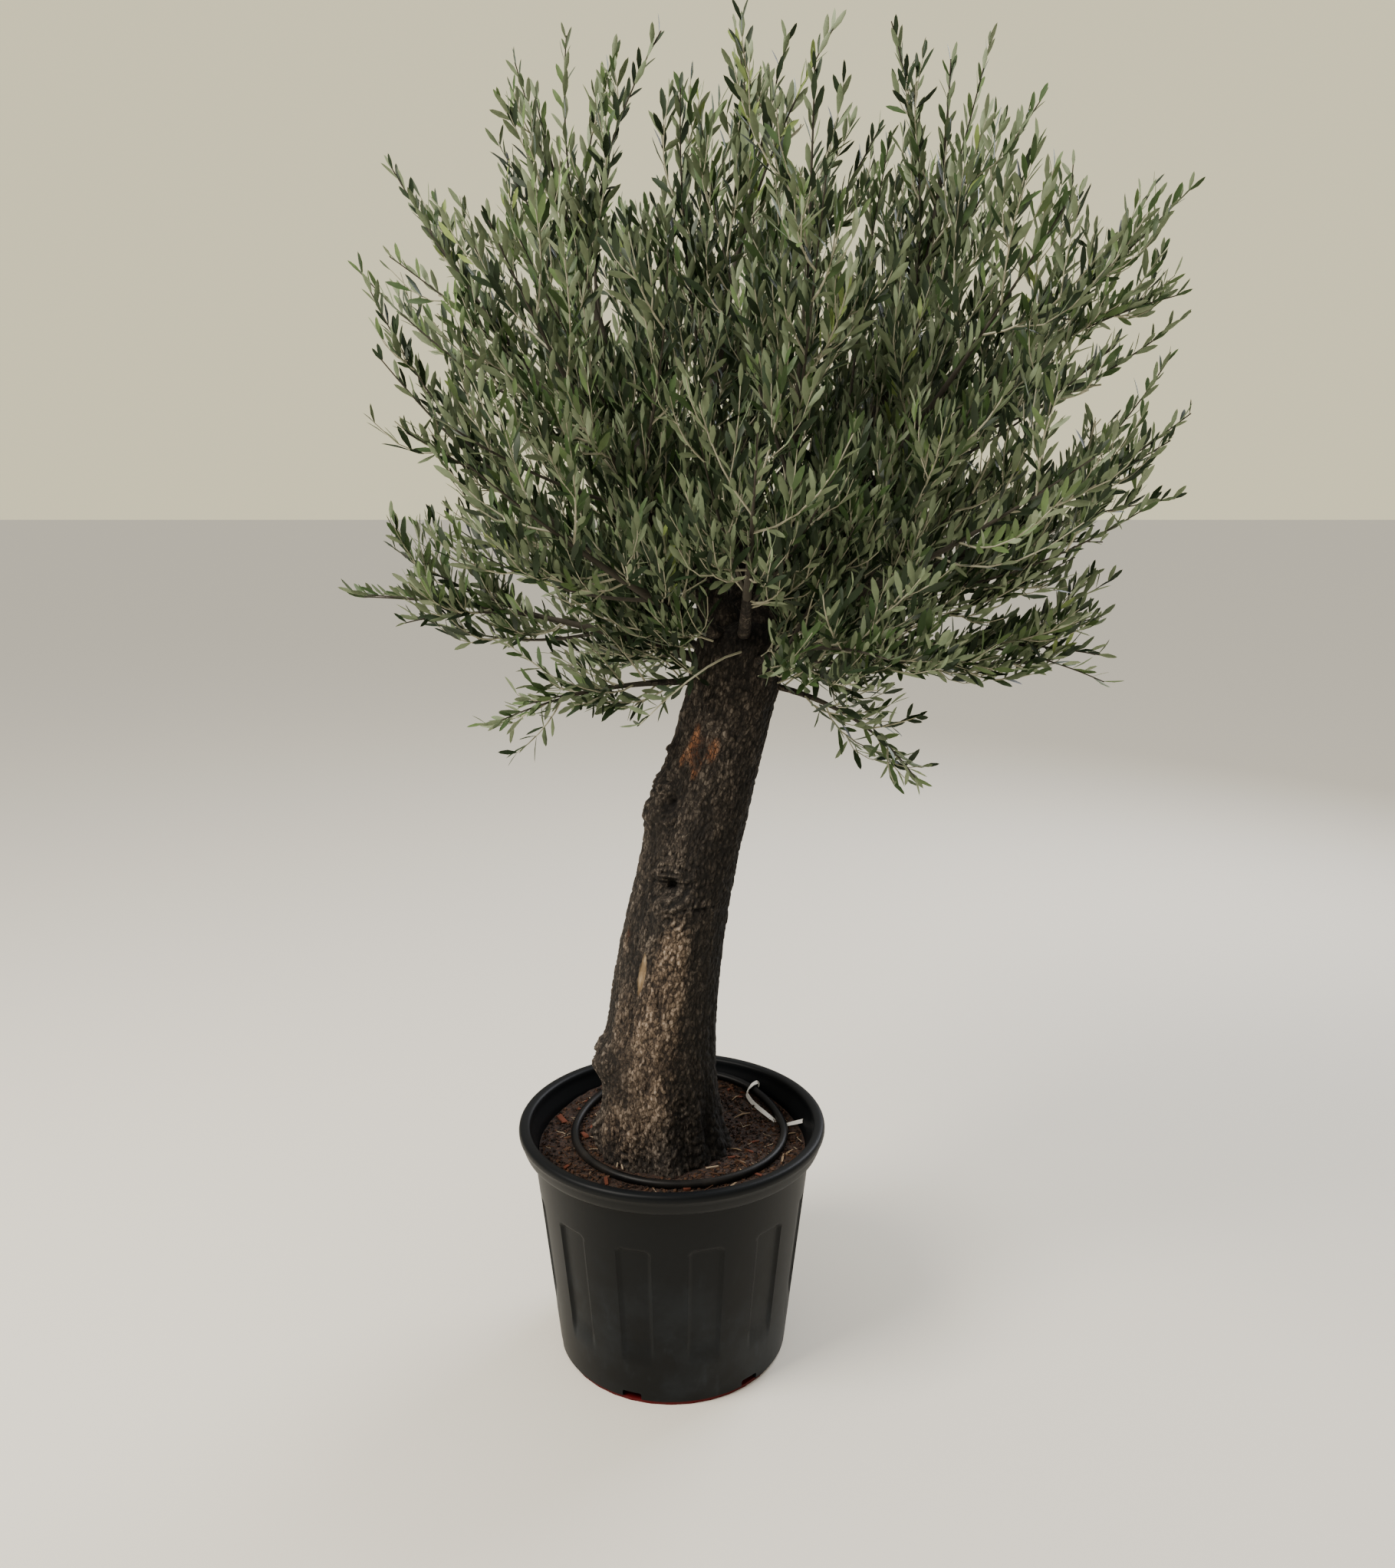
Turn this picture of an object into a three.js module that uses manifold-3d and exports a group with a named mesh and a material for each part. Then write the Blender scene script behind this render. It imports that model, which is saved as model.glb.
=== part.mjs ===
// A potted olive tree: an old leaning trunk in a black fluted nursery pot, with a crown of long
// rising shoots that was cut back once and has grown again. Millimetres, +Z up, seen from -Y,
// with the origin at the middle of the flat underside.
import * as THREE from "three";
import { mergeVertices } from "three/addons/utils/BufferGeometryUtils.js";
import Module from "manifold-3d";

const wasm = await Module();
wasm.setup();

const GAP = 0.3;

// The red plate under the pot.
const PLATE = { radius: 220, thick: 6, forward: 5, sides: 36 };

// The pot, measured up from its foot.
const POT_FOOT = PLATE.thick + GAP;
const POT = {
  height: 472,
  footRadius: 227,
  shoulderRadius: 272,
  shoulder: 424,
  bandRadius: 290,
  bandFoot: 431,
  rimRadius: 300,
  rimInner: 278,
  wall: 8,
  floor: 18,
  flutes: 12,
  fluteDepth: 4.5,
  fluteFoot: 66,
  fluteTop: 340,
  fluteSlope: 8,
  panelHalf: 6.9,
};
const PANEL_TURN = 360 / (POT.flutes * 2);
const NOTCH = { wide: 38, tall: 15, count: 6, heading: 251 };

// The soil and what lies on it.
const SOIL = { level: 420, backRise: 20, backFrom: 60, edgeRise: 6, rings: [250, 215, 170, 110] };
const RING = { acrossX: 209, acrossY: 214, tube: 8.3, x: 14, y: 44, sunk: 1.5, steps: 32, sides: 8 };
const STRAP = { wide: 12, thick: 1, steps: 22, over: 0.12, under: 0.042, end: 29, endTurn: -38 };

// The trunk is a stack of level slices whose middle drifts to the right on its way up.
const TRUNK = {
  foot: SOIL.level,
  top: 1452,
  butt: 117,
  neck: 83,
  taper: 1.5,
  drift: [-19, -111, 478, -203],
  back: 25,
  flare: 12,
  flareTall: 60,
  head: 7,
  slices: 20,
  sides: 20,
};
// Swellings and one hollow: height, compass heading, how far out, half height, half width in radians.
const BURLS = [
  { height: 612, heading: 192, out: 25, tall: 36, wide: 0.42 },
  { height: 462, heading: 188, out: 17, tall: 26, wide: 0.3 },
  { height: 1118, heading: 196, out: 15, tall: 62, wide: 0.5 },
  { height: 1286, heading: 205, out: 10, tall: 20, wide: 0.26 },
  { height: 962, heading: 262, out: -11, tall: 26, wide: 0.26 },
  { height: 925, heading: 262, out: 9, tall: 70, wide: 0.5 },
  { height: 980, heading: 60, out: 14, tall: 70, wide: 0.5 },
  { height: 560, heading: 95, out: 16, tall: 60, wide: 0.45 },
];

// The crown grows from the trunk's head. Each row is one limb and the mass of leaves on it: the
// way its tip lies from the head (heading round from +X, rise above level, reach), how far its
// twigs spread, its thickness at its foot, how far its line bows square to the straight (below 0
// it sags outwards), and where it leaves the trunk, a height, or the limb named last, a share of
// that limb's length.
const HEAD = new THREE.Vector3(130, 20, 1500);
const LIMBS = [
  ["top_left", 183, 67, 900, 260, 33, -70, 1385],
  ["top_right", 3, 69, 960, 260, 41, -190, 1380],
  ["top_back", 85, 67, 870, 260, 30, -110, 1395],
  ["top_centre", 330, 85, 910, 230, 15, 40, 0.2, "top_left"],
  ["top_front", 283, 64, 860, 260, 15, -80, 0.1, "top_right"],
  ["upper_right", 2, 42, 940, 260, 15, -20, 0.24, "top_right"],
  ["upper_right_back", 48, 45, 850, 270, 13, -60, 0.1, "top_back"],
  ["upper_left_back", 127, 47, 830, 270, 13, -60, 0.18, "top_back"],
  ["upper_left", 176, 49, 870, 240, 14, -40, 0.22, "top_left"],
  ["upper_left_front", 226, 46, 790, 260, 14, -60, 0.12, "top_left"],
  ["upper_right_front", 320, 45, 830, 270, 14, -30, 0.14, "top_right"],
  ["right", 355, 20, 790, 240, 15, -50, 1410],
  ["right_back", 42, 20, 730, 250, 14, -40, 1415],
  ["back", 98, 23, 710, 260, 13, -40, 1395],
  ["left", 184, 33, 750, 230, 15, -100, 1415],
  ["left_front", 228, 20, 660, 240, 14, -40, 1405],
  ["front", 270, 24, 650, 250, 13, -40, 1400],
  ["right_front", 316, 19, 720, 250, 14, -40, 1410],
  ["low_right", 352, -9, 650, 180, 11, 70, 1365],
  ["low_back", 118, -8, 590, 200, 11, 50, 1350],
  ["low_left", 186, 0, 680, 180, 11, 60, 1355],
  ["low_front", 292, -6, 540, 200, 10, 60, 1360],
  ["hanging_left", 203, -24, 500, 150, 8, 60, 1335],
  ["hanging_right", 335, -43, 460, 110, 7, 90, 1345],
].map(([name, heading, rise, reach, spread, girth, bow, at, from]) => {
  return { name, heading, rise, reach, spread, girth, bow, at, from };
});
const BOUGH_SHARE = 0.32;
const TIP_GIRTH = 2.6;
const BOUGH_SIDES = 6;
const BOUGH_STEPS = 5;
const STEM_SIDES = 3;
const STEM_STEPS = 4;

// How twigs leave a stem and leaves leave a twig. Each leaf stands for one leafy shoot.
const TWIG = {
  count: 5,
  from: 0.1,
  to: 0.88,
  angle: 50,
  girth: 3.4,
  tip: 2.6,
  steps: 1,
  light: 0.4,
  outward: 0.3,
  lift: 0.95,
  liftLow: 0.25,
};
const LEAF = {
  perTwig: 1,
  perStem: 3,
  from: 0.35,
  to: 0.85,
  angle: 36,
  long: 172,
  wide: 52,
  thick: 5,
  past: 40,
  sunk: 4,
  lift: 0.15,
};
const ROOM_STEPS = 5;
const CLEAR = 3;
const GOLDEN_TURN = Math.PI * (3 - Math.sqrt(5));
const UP = new THREE.Vector3(0, 0, 1);

// A seeded random draw from 0 to 1.
function seeded(seed) {
  let state = seed >>> 0;
  return () => {
    state = (state + 0x6d2b79f5) >>> 0;
    let mixed = Math.imul(state ^ (state >>> 15), state | 1);
    mixed ^= mixed + Math.imul(mixed ^ (mixed >>> 7), mixed | 61);
    return ((mixed ^ (mixed >>> 14)) >>> 0) / 4294967296;
  };
}

// Shares of a length that stay evenly spread however many are taken: 1/2, 1/4, 3/4, 1/8 ...
function spreadShare(index) {
  let share = 0;
  let half = 0.5;
  for (let rest = index + 1; rest > 0; rest >>= 1) {
    share += (rest & 1) * half;
    half /= 2;
  }
  return share;
}

// The unit vector at a compass heading and a rise above level, both in degrees.
function bearing(heading, rise = 0) {
  const turn = THREE.MathUtils.degToRad(heading);
  const tilt = THREE.MathUtils.degToRad(rise);
  return new THREE.Vector3(
    Math.cos(turn) * Math.cos(tilt),
    Math.sin(turn) * Math.cos(tilt),
    Math.sin(tilt),
  );
}

// A vector square to a direction, turned round it.
function sideways(direction, turn) {
  const reference = Math.abs(direction.z) > 0.9 ? new THREE.Vector3(1, 0, 0) : UP;
  const across = new THREE.Vector3().crossVectors(direction, reference).normalize();
  const over = new THREE.Vector3().crossVectors(across, direction);
  return across.multiplyScalar(Math.cos(turn)).addScaledVector(over, Math.sin(turn));
}

// The direction that leaves another at an angle in degrees, towards a side.
function leaving(direction, side, degrees) {
  const angle = THREE.MathUtils.degToRad(degrees);
  return direction
    .clone()
    .multiplyScalar(Math.cos(angle))
    .addScaledVector(side, Math.sin(angle));
}

// A closed geometry as a solid.
function solidOf(geometry) {
  const bare = geometry.clone();
  bare.deleteAttribute("normal");
  bare.deleteAttribute("uv");
  const merged = mergeVertices(bare, 1e-3);
  return new wasm.Manifold(
    new wasm.Mesh({
      numProp: 3,
      vertProperties: merged.attributes.position.array,
      triVerts: new Uint32Array(merged.index.array),
    }),
  );
}

// A solid as a geometry.
function geometryOf(solid) {
  const mesh = solid.getMesh();
  const geometry = new THREE.BufferGeometry();
  geometry.setAttribute("position", new THREE.BufferAttribute(mesh.vertProperties, 3));
  geometry.setIndex(new THREE.BufferAttribute(mesh.triVerts, 1));
  geometry.computeVertexNormals();
  return geometry;
}

// Moves every vertex of a geometry by a function of it.
function reshape(geometry, move) {
  const positions = geometry.attributes.position;
  const vertex = new THREE.Vector3();
  for (let i = 0; i < positions.count; i++) {
    move(vertex.fromBufferAttribute(positions, i));
    positions.setXYZ(i, vertex.x, vertex.y, vertex.z);
  }
  return geometry;
}

// A lathe round the Z axis from a profile of [radius, height] pairs.
function turned(profile, sides) {
  const points = profile.map(([radius, height]) => new THREE.Vector2(radius, height));
  const half = Math.PI / 2;
  return new THREE.LatheGeometry(points, sides, 0, Math.PI * 2).rotateX(half).rotateZ(half);
}

// A round, tapering stick bent along a stretch of a plane curve.
function limbGeometry(curve, start, end, girthAt, sides, steps, lead = 0) {
  const stick = new THREE.CylinderGeometry(1, 1, 1, sides, steps).translate(0, 0.5, 0);
  const chord = new THREE.Vector3().subVectors(curve.v2, curve.v0);
  const across = new THREE.Vector3().subVectors(curve.v1, curve.v0).cross(chord);
  if (across.lengthSq() < 1) across.copy(sideways(chord.normalize(), 0));
  across.normalize();
  return reshape(stick, (vertex) => {
    const share = start + (end - start) * vertex.y;
    const tangent = curve.getTangent(share);
    const over = new THREE.Vector3().crossVectors(across, tangent);
    const girth = girthAt(share);
    const offset = new THREE.Vector3()
      .addScaledVector(across, vertex.x * girth)
      .addScaledVector(over, vertex.z * girth)
      .addScaledVector(tangent, lead);
    vertex.copy(curve.getPoint(share)).add(offset);
  });
}

// The pot's outer radius at a height above its foot.
function potRadius(height) {
  const share = height / POT.shoulder;
  return POT.footRadius + (POT.shoulderRadius - POT.footRadius) * share;
}

// Whether a turn round the pot, in radians from the front, is inside a sunk flute.
function inFlute(turn) {
  const panels = (turn / (Math.PI * 2)) * POT.flutes;
  const share = panels - Math.floor(panels);
  return share > 0.25 && share < 0.75;
}

// A lathe whose evenly spaced turns are moved in pairs to the two edges of each panel.
function panelled(profile) {
  return reshape(turned(profile, POT.flutes * 4), (vertex) => {
    const radius = Math.hypot(vertex.x, vertex.y);
    const degrees = THREE.MathUtils.radToDeg(Math.atan2(vertex.x, -vertex.y));
    const step = Math.round(degrees / (PANEL_TURN / 2));
    const side = step % 2 === 0 ? -1 : 1;
    const panel = Math.floor(step / 2) * PANEL_TURN;
    const turn = THREE.MathUtils.degToRad(panel + side * POT.panelHalf);
    vertex.set(radius * Math.sin(turn), -radius * Math.cos(turn), vertex.z);
  });
}

function potSolid() {
  const { wall, floor, fluteFoot, fluteTop, fluteSlope, height } = POT;
  const outer = (level) => [potRadius(level), level];
  const inner = (level) => [potRadius(level) - wall, level];
  const profile = [
    [0, floor],
    [POT.footRadius - wall * 2, floor],
    [POT.footRadius - wall * 1.5, 0],
    outer(0),
    outer(fluteFoot),
    outer(fluteFoot + fluteSlope),
    outer(fluteTop - fluteSlope),
    outer(fluteTop),
    outer(POT.shoulder),
    [POT.bandRadius, POT.bandFoot],
    [POT.rimRadius, height - 12],
    [POT.rimRadius - 4, height],
    [POT.rimInner, height - 1],
    inner(POT.shoulder),
    inner(floor + wall),
    [0, floor + wall],
  ];
  const low = fluteFoot + fluteSlope / 2;
  const high = fluteTop - fluteSlope / 2;
  const body = reshape(panelled(profile), (vertex) => {
    const radius = Math.hypot(vertex.x, vertex.y);
    const turn = Math.atan2(vertex.x, -vertex.y);
    const onOutside = radius > potRadius(vertex.z) - 1;
    if (onOutside && vertex.z > low && vertex.z < high && inFlute(turn)) {
      const sunk = (radius - POT.fluteDepth) / radius;
      vertex.set(vertex.x * sunk, vertex.y * sunk, vertex.z);
    }
  });
  let pot = solidOf(body);
  for (let k = 0; k < NOTCH.count; k++) {
    const heading = NOTCH.heading + (k * 360) / NOTCH.count;
    const notch = new THREE.BoxGeometry(40, NOTCH.wide, NOTCH.tall * 2)
      .translate(POT.footRadius, 0, 0)
      .rotateZ(THREE.MathUtils.degToRad(heading));
    pot = pot.subtract(solidOf(notch));
  }
  return pot.translate(0, 0, POT_FOOT);
}

// The soil's height at a place: nearly level, a little higher at the back.
function soilLevel(x, y) {
  const back = THREE.MathUtils.smoothstep(y, SOIL.backFrom, 270) * SOIL.backRise;
  const edge = THREE.MathUtils.smoothstep(Math.hypot(x, y), 235, 270) * SOIL.edgeRise;
  return SOIL.level + back + edge;
}

// The irrigation ring's middle line, a flattish loop that lies on the soil.
function ringPoint(share) {
  const turn = share * Math.PI * 2;
  const wobble = 1 + 0.006 * Math.cos(2 * turn + 0.7);
  const x = RING.x + RING.acrossX * wobble * Math.cos(turn);
  const y = RING.y + RING.acrossY * wobble * Math.sin(turn);
  return new THREE.Vector3(x, y, soilLevel(x, y) + RING.tube - RING.sunk);
}

function ringSolid(grown = 0) {
  const points = Array.from({ length: RING.steps }, (_, k) => ringPoint(k / RING.steps));
  const path = new THREE.CatmullRomCurve3(points, true);
  const section = new THREE.Shape().absarc(0, 0, RING.tube + grown, 0, Math.PI * 2);
  const pipe = new THREE.ExtrudeGeometry(section, {
    steps: RING.steps,
    curveSegments: RING.sides / 2,
    extrudePath: path,
  });
  return solidOf(pipe);
}

// The strap's line: looped over the ring at its right-hand back, then along the soil inside the
// ring, and under it to an end near the pot's wall.
function strapCurve() {
  const over = ringPoint(STRAP.over);
  const under = ringPoint(STRAP.under);
  const outward = bearing(STRAP.over * 360);
  const along = new THREE.Vector3().subVectors(under, over).setZ(0);
  const clearance = RING.tube + STRAP.thick * 2.5;
  const loop = [-15, 35, 80, 125, 175].map((degrees) => {
    const turn = THREE.MathUtils.degToRad(degrees);
    const out = outward.clone().multiplyScalar(clearance * Math.cos(turn));
    return over.clone().add(out).addScaledVector(UP, clearance * Math.sin(turn));
  });
  const onSoil = (share, inward) => {
    const point = over.clone().addScaledVector(along, share).addScaledVector(outward, -inward);
    return point.setZ(soilLevel(point.x, point.y) + STRAP.thick);
  };
  const end = under.clone().addScaledVector(bearing(STRAP.under * 360 + STRAP.endTurn), STRAP.end);
  return new THREE.CatmullRomCurve3([
    ...loop,
    onSoil(0.08, clearance + 13),
    onSoil(0.42, clearance + 24),
    onSoil(0.75, clearance + 14),
    under.clone().setZ(under.z - clearance - 2),
    end.setZ(soilLevel(end.x, end.y) + STRAP.thick),
  ]);
}

function strapSolid(grown = 0) {
  const path = strapCurve();
  const size = [1, STRAP.wide + grown * 2, STRAP.thick + grown * 2];
  const strip = new THREE.BoxGeometry(...size, STRAP.steps, 1, 1).translate(0.5, 0, 0);
  return solidOf(
    reshape(strip, (vertex) => {
      const tangent = path.getTangent(vertex.x);
      const twist = 80 * THREE.MathUtils.smoothstep(vertex.x, 0.46, 0.64);
      const across = bearing(STRAP.over * 360 - 90 + twist);
      across.addScaledVector(tangent, -across.dot(tangent)).normalize();
      const over = new THREE.Vector3().crossVectors(tangent, across);
      const lead = (vertex.x - 0.5) * 2 * grown;
      const offset = tangent.clone().multiplyScalar(lead);
      offset.addScaledVector(across, vertex.y).addScaledVector(over, vertex.z);
      vertex.copy(path.getPoint(vertex.x)).add(offset);
    }),
  );
}

// The trunk's middle at a height.
function trunkMiddle(height) {
  const share = (height - TRUNK.foot) / (TRUNK.top - TRUNK.foot);
  const [at, slope, bend, ease] = TRUNK.drift;
  const x = at + slope * share + bend * share ** 2 + ease * share ** 3;
  return new THREE.Vector3(x, -5 + TRUNK.back * share ** 2, height);
}

// The trunk's radius at a height and a turn from +X in radians.
function trunkRadius(height, turn) {
  const share = (height - TRUNK.foot) / (TRUNK.top - TRUNK.foot);
  const rise = height - TRUNK.foot;
  let radius = TRUNK.neck + (TRUNK.butt - TRUNK.neck) * (1 - share) ** TRUNK.taper;
  radius += TRUNK.head * THREE.MathUtils.smoothstep(share, 0.82, 1);
  const lobes = 0.03 * Math.cos(2 * turn + 0.8 + 1.5 * share) + 0.022 * Math.cos(3 * turn - 5 * share);
  radius *= 1 + lobes + 0.012 * Math.cos(5 * turn + 4 * share);
  const roots = 0.65 + 0.35 * Math.cos(5 * turn + 0.6);
  radius += TRUNK.flare * roots * Math.exp(-((rise / TRUNK.flareTall) ** 2));
  for (const burl of BURLS) {
    const away = turn - THREE.MathUtils.degToRad(burl.heading);
    const round = Math.atan2(Math.sin(away), Math.cos(away)) / burl.wide;
    radius += burl.out * Math.exp(-(((height - burl.height) / burl.tall) ** 2) - round ** 2);
  }
  const dome = Math.max(0, (height - TRUNK.top + 40) / 40);
  return radius * Math.sqrt(1 - 0.75 * dome ** 2);
}

function trunkSolid(grown = 0) {
  const stack = new THREE.CylinderGeometry(1, 1, 1, TRUNK.sides, TRUNK.slices)
    .translate(0, 0.5, 0)
    .rotateX(Math.PI / 2);
  return solidOf(
    reshape(stack, (vertex) => {
      const height = TRUNK.foot + (TRUNK.top - TRUNK.foot) * vertex.z;
      const turn = Math.atan2(vertex.y, vertex.x);
      const out = Math.hypot(vertex.x, vertex.y) > 0.5 ? trunkRadius(height, turn) + grown : 0;
      const middle = trunkMiddle(height);
      const lift = (vertex.z > 0.999 ? grown : 0) - (vertex.z < 0.001 ? grown : 0);
      vertex.set(middle.x + out * Math.cos(turn), middle.y + out * Math.sin(turn), height + lift);
    }),
  );
}

// Each limb's whole line, from inside what carries it to the tip of its mass.
function limbCurves() {
  const curves = new Map();
  for (const limb of LIMBS) {
    const tip = HEAD.clone().addScaledVector(bearing(limb.heading, limb.rise), limb.reach);
    const root = limb.from ? curves.get(limb.from).getPoint(limb.at) : trunkMiddle(limb.at);
    const square = bearing(limb.heading, limb.rise + 90);
    const middle = root.clone().lerp(tip, 0.5).addScaledVector(square, limb.bow);
    curves.set(limb.name, new THREE.QuadraticBezierCurve3(root, middle, tip));
  }
  return curves;
}

// A limb's thickness along its line.
function girthOf(limb) {
  return (share) => TIP_GIRTH + (limb.girth - TIP_GIRTH) * (1 - share) ** 1.25;
}

// The twigs of a mass: each leaves the stem at an angle and turns up towards the light. They
// shorten towards the tip of the mass and, where stems stand close, towards its foot.
function twigsOf(limb, curve, draw) {
  const phase = draw() * Math.PI * 2;
  const light = bearing(limb.heading).multiplyScalar(TWIG.outward);
  light.addScaledVector(UP, limb.rise < 0 ? TWIG.liftLow : TWIG.lift);
  return Array.from({ length: TWIG.count }, (_, k) => {
    const along = TWIG.from + (TWIG.to - TWIG.from) * spreadShare(k);
    const share = BOUGH_SHARE + (1 - BOUGH_SHARE) * along;
    const start = curve.getPoint(share);
    const tangent = curve.getTangent(share);
    const side = sideways(tangent, phase + k * GOLDEN_TURN);
    const first = leaving(tangent, side, TWIG.angle * (0.85 + 0.3 * draw()));
    const room = Math.min(1, 0.45 + 1.5 * along, 1.45 - 0.95 * along);
    const length = limb.spread * room * (0.9 + 0.2 * draw());
    const last = first.clone().multiplyScalar(1 - TWIG.light).addScaledVector(light, TWIG.light);
    const end = start.clone().addScaledVector(last.normalize(), length);
    const middle = start.clone().addScaledVector(first, length * 0.5);
    return new THREE.QuadraticBezierCurve3(start, middle, end);
  });
}

// The share of a shoot, between two shares of its curve, at which its last leaf takes over.
function lastLeafShare(curve, start) {
  const length = curve.getPoint(start).distanceTo(curve.v2);
  return 1 - ((1 - start) * Math.min(LEAF.long - LEAF.past, length * 0.6)) / length;
}

// The leaves along a shoot: they lean forward, turned round it one after another, and the last
// one carries on from its end.
function leavesOf(curve, start, count, draw) {
  const end = lastLeafShare(curve, start);
  const tip = curve.getPoint(end);
  const ahead = new THREE.Vector3().subVectors(curve.v2, tip);
  const leaves = [];
  const last = { forward: ahead.clone().normalize(), long: ahead.length() + LEAF.past + LEAF.sunk };
  leaves.push({ root: tip.addScaledVector(last.forward, -LEAF.sunk), roll: draw() * Math.PI, ...last });
  for (let k = 0; k < count; k++) {
    const share = start + (end - start) * (LEAF.from + (LEAF.to - LEAF.from) * spreadShare(k));
    const tangent = curve.getTangent(share);
    const side = sideways(tangent, draw() * 0.6 + k * GOLDEN_TURN);
    const forward = leaving(tangent, side, LEAF.angle * (0.85 + 0.3 * draw()));
    forward.addScaledVector(UP, LEAF.lift).normalize();
    const long = LEAF.long * (0.85 + 0.3 * draw());
    leaves.push({ root: curve.getPoint(share), forward, long, roll: draw() * Math.PI });
  }
  return leaves;
}

function leafSolid({ root, forward, long, roll }) {
  const across = sideways(forward, roll);
  const over = new THREE.Vector3().crossVectors(forward, across);
  const place = new THREE.Matrix4().makeBasis(forward, across, over);
  const middle = root.clone().addScaledVector(forward, long / 2);
  const blade = new THREE.OctahedronGeometry(1)
    .scale(long / 2, LEAF.wide / 2, LEAF.thick / 2)
    .applyMatrix4(place.setPosition(middle));
  return solidOf(blade);
}

// The straight stretches of part of a curve, with the limb's thickness at each.
function stretchesOf(curve, start, end, girthAt, steps = 8) {
  return Array.from({ length: steps }, (_, k) => {
    const from = start + ((end - start) * k) / steps;
    const line = new THREE.Line3(curve.getPoint(from), curve.getPoint(from + (end - start) / steps));
    return { line, girth: girthAt(from) };
  });
}

// How far a point is from the nearest surface of some stretches.
function distanceTo(stretches, point) {
  const near = new THREE.Vector3();
  let least = Infinity;
  for (const { line, girth } of stretches) {
    const away = line.closestPointToPoint(point, true, near).distanceTo(point) - girth;
    least = Math.min(least, away);
  }
  return least;
}

// Tells whether a twig or leaf of one mass stays in that mass's own space, the places nearer to
// its stem than to any other stem, and clear of the trunk and of every bough.
function makeRoomTest(curves) {
  const stems = new Map();
  const boughs = [];
  for (const limb of LIMBS) {
    const curve = curves.get(limb.name);
    stems.set(limb.name, stretchesOf(curve, BOUGH_SHARE, 1, () => 0));
    boughs.push(...stretchesOf(curve, 0, BOUGH_SHARE, girthOf(limb)));
  }
  const trunkLine = Array.from({ length: 8 }, (_, k) => {
    const span = (TRUNK.top - TRUNK.foot) / 8;
    const foot = TRUNK.foot + k * span;
    const line = new THREE.Line3(trunkMiddle(foot), trunkMiddle(foot + span));
    return { line, girth: TRUNK.butt };
  });
  const limbs = [...boughs, ...trunkLine];
  return (name, start, end, widthAt, from = 0) => {
    for (let k = 0; k <= ROOM_STEPS; k++) {
      const share = from + ((1 - from) * k) / ROOM_STEPS;
      const point = start.clone().lerp(end, share);
      const wide = widthAt(share);
      if (distanceTo(limbs, point) < wide + CLEAR) return false;
      const own = distanceTo(stems.get(name), point) + 2 * wide + CLEAR;
      for (const [other, stem] of stems) {
        if (other !== name && distanceTo(stem, point) < own) return false;
      }
    }
    return true;
  };
}

// The largest single body of a solid, without loose scraps.
function largestOf(solid) {
  return solid.decompose().sort((a, b) => b.volume() - a.volume())[0];
}

// One mass of leaves: a stem with its twigs and leaves, fused into one solid.
function massSolid(limb, index, curve, fits) {
  const draw = seeded(1000 + index * 77);
  const leafDraw = seeded(5000 + index * 77);
  const stemEnd = lastLeafShare(curve, BOUGH_SHARE);
  const stem = limbGeometry(curve, BOUGH_SHARE, stemEnd, girthOf(limb), STEM_SIDES, STEM_STEPS, GAP);
  let mass = solidOf(stem);
  const leaves = leavesOf(curve, BOUGH_SHARE, LEAF.perStem, leafDraw);
  const twigWidth = () => TWIG.girth;
  const twigGirth = (share) => TWIG.girth + (TWIG.tip - TWIG.girth) * share;
  for (const twig of twigsOf(limb, curve, draw)) {
    const own = leavesOf(twig, 0, LEAF.perTwig, leafDraw);
    const middle = twig.getPoint(0.5);
    if (!fits(limb.name, twig.v0, middle, twigWidth, 0.3)) continue;
    if (!fits(limb.name, middle, twig.v2, twigWidth)) continue;
    const tube = limbGeometry(twig, 0, lastLeafShare(twig, 0), twigGirth, 3, TWIG.steps);
    mass = mass.add(solidOf(tube));
    leaves.push(...own);
  }
  const leafWidth = (share) => (LEAF.wide / 2) * (1 - Math.abs(2 * share - 1));
  for (const leaf of leaves) {
    const tip = leaf.root.clone().addScaledVector(leaf.forward, leaf.long);
    if (fits(limb.name, leaf.root, tip, leafWidth, 0.15)) mass = mass.add(leafSolid(leaf));
  }
  return largestOf(mass);
}

// The soil fills the pot up to its level, cut clear of what stands and lies in it.
function soilSolid() {
  const inside = (level) => potRadius(level - POT_FOOT) - POT.wall - GAP;
  const floor = POT_FOOT + POT.floor + POT.wall + GAP;
  const edge = inside(SOIL.level);
  const profile = [[0, floor], [inside(floor), floor], [edge, SOIL.level]];
  profile.push(...SOIL.rings.map((radius) => [radius, SOIL.level]), [0, SOIL.level]);
  const heap = reshape(panelled(profile), (vertex) => {
    if (vertex.z < SOIL.level - 1) return;
    vertex.z = soilLevel(vertex.x, vertex.y);
    const room = inside(vertex.z) / Math.max(Math.hypot(vertex.x, vertex.y), inside(vertex.z));
    vertex.x *= room;
    vertex.y *= room;
  });
  return solidOf(heap)
    .subtract(trunkSolid(GAP))
    .subtract(ringSolid(GAP))
    .subtract(strapSolid(GAP));
}

const FINISH = {
  pot: { color: 0x262828, roughness: 0.6, metalness: 0 },
  plate: { color: 0x7a1014, roughness: 0.45, metalness: 0 },
  soil: { color: 0x2a1f17, roughness: 1, metalness: 0 },
  pipe: { color: 0x17181a, roughness: 0.5, metalness: 0 },
  strap: { color: 0xdedbd6, roughness: 0.5, metalness: 0 },
  bark: { color: 0x453b31, roughness: 0.95, metalness: 0 },
  bough: { color: 0x5c5648, roughness: 0.9, metalness: 0 },
  leaf: { color: 0x5f6a48, roughness: 0.6, metalness: 0 },
};

const tree = new THREE.Group();

function addNode(name, solid, finish) {
  const material = new THREE.MeshStandardMaterial(FINISH[finish]);
  const mesh = new THREE.Mesh(geometryOf(solid), material);
  mesh.name = name;
  tree.add(mesh);
}

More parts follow.
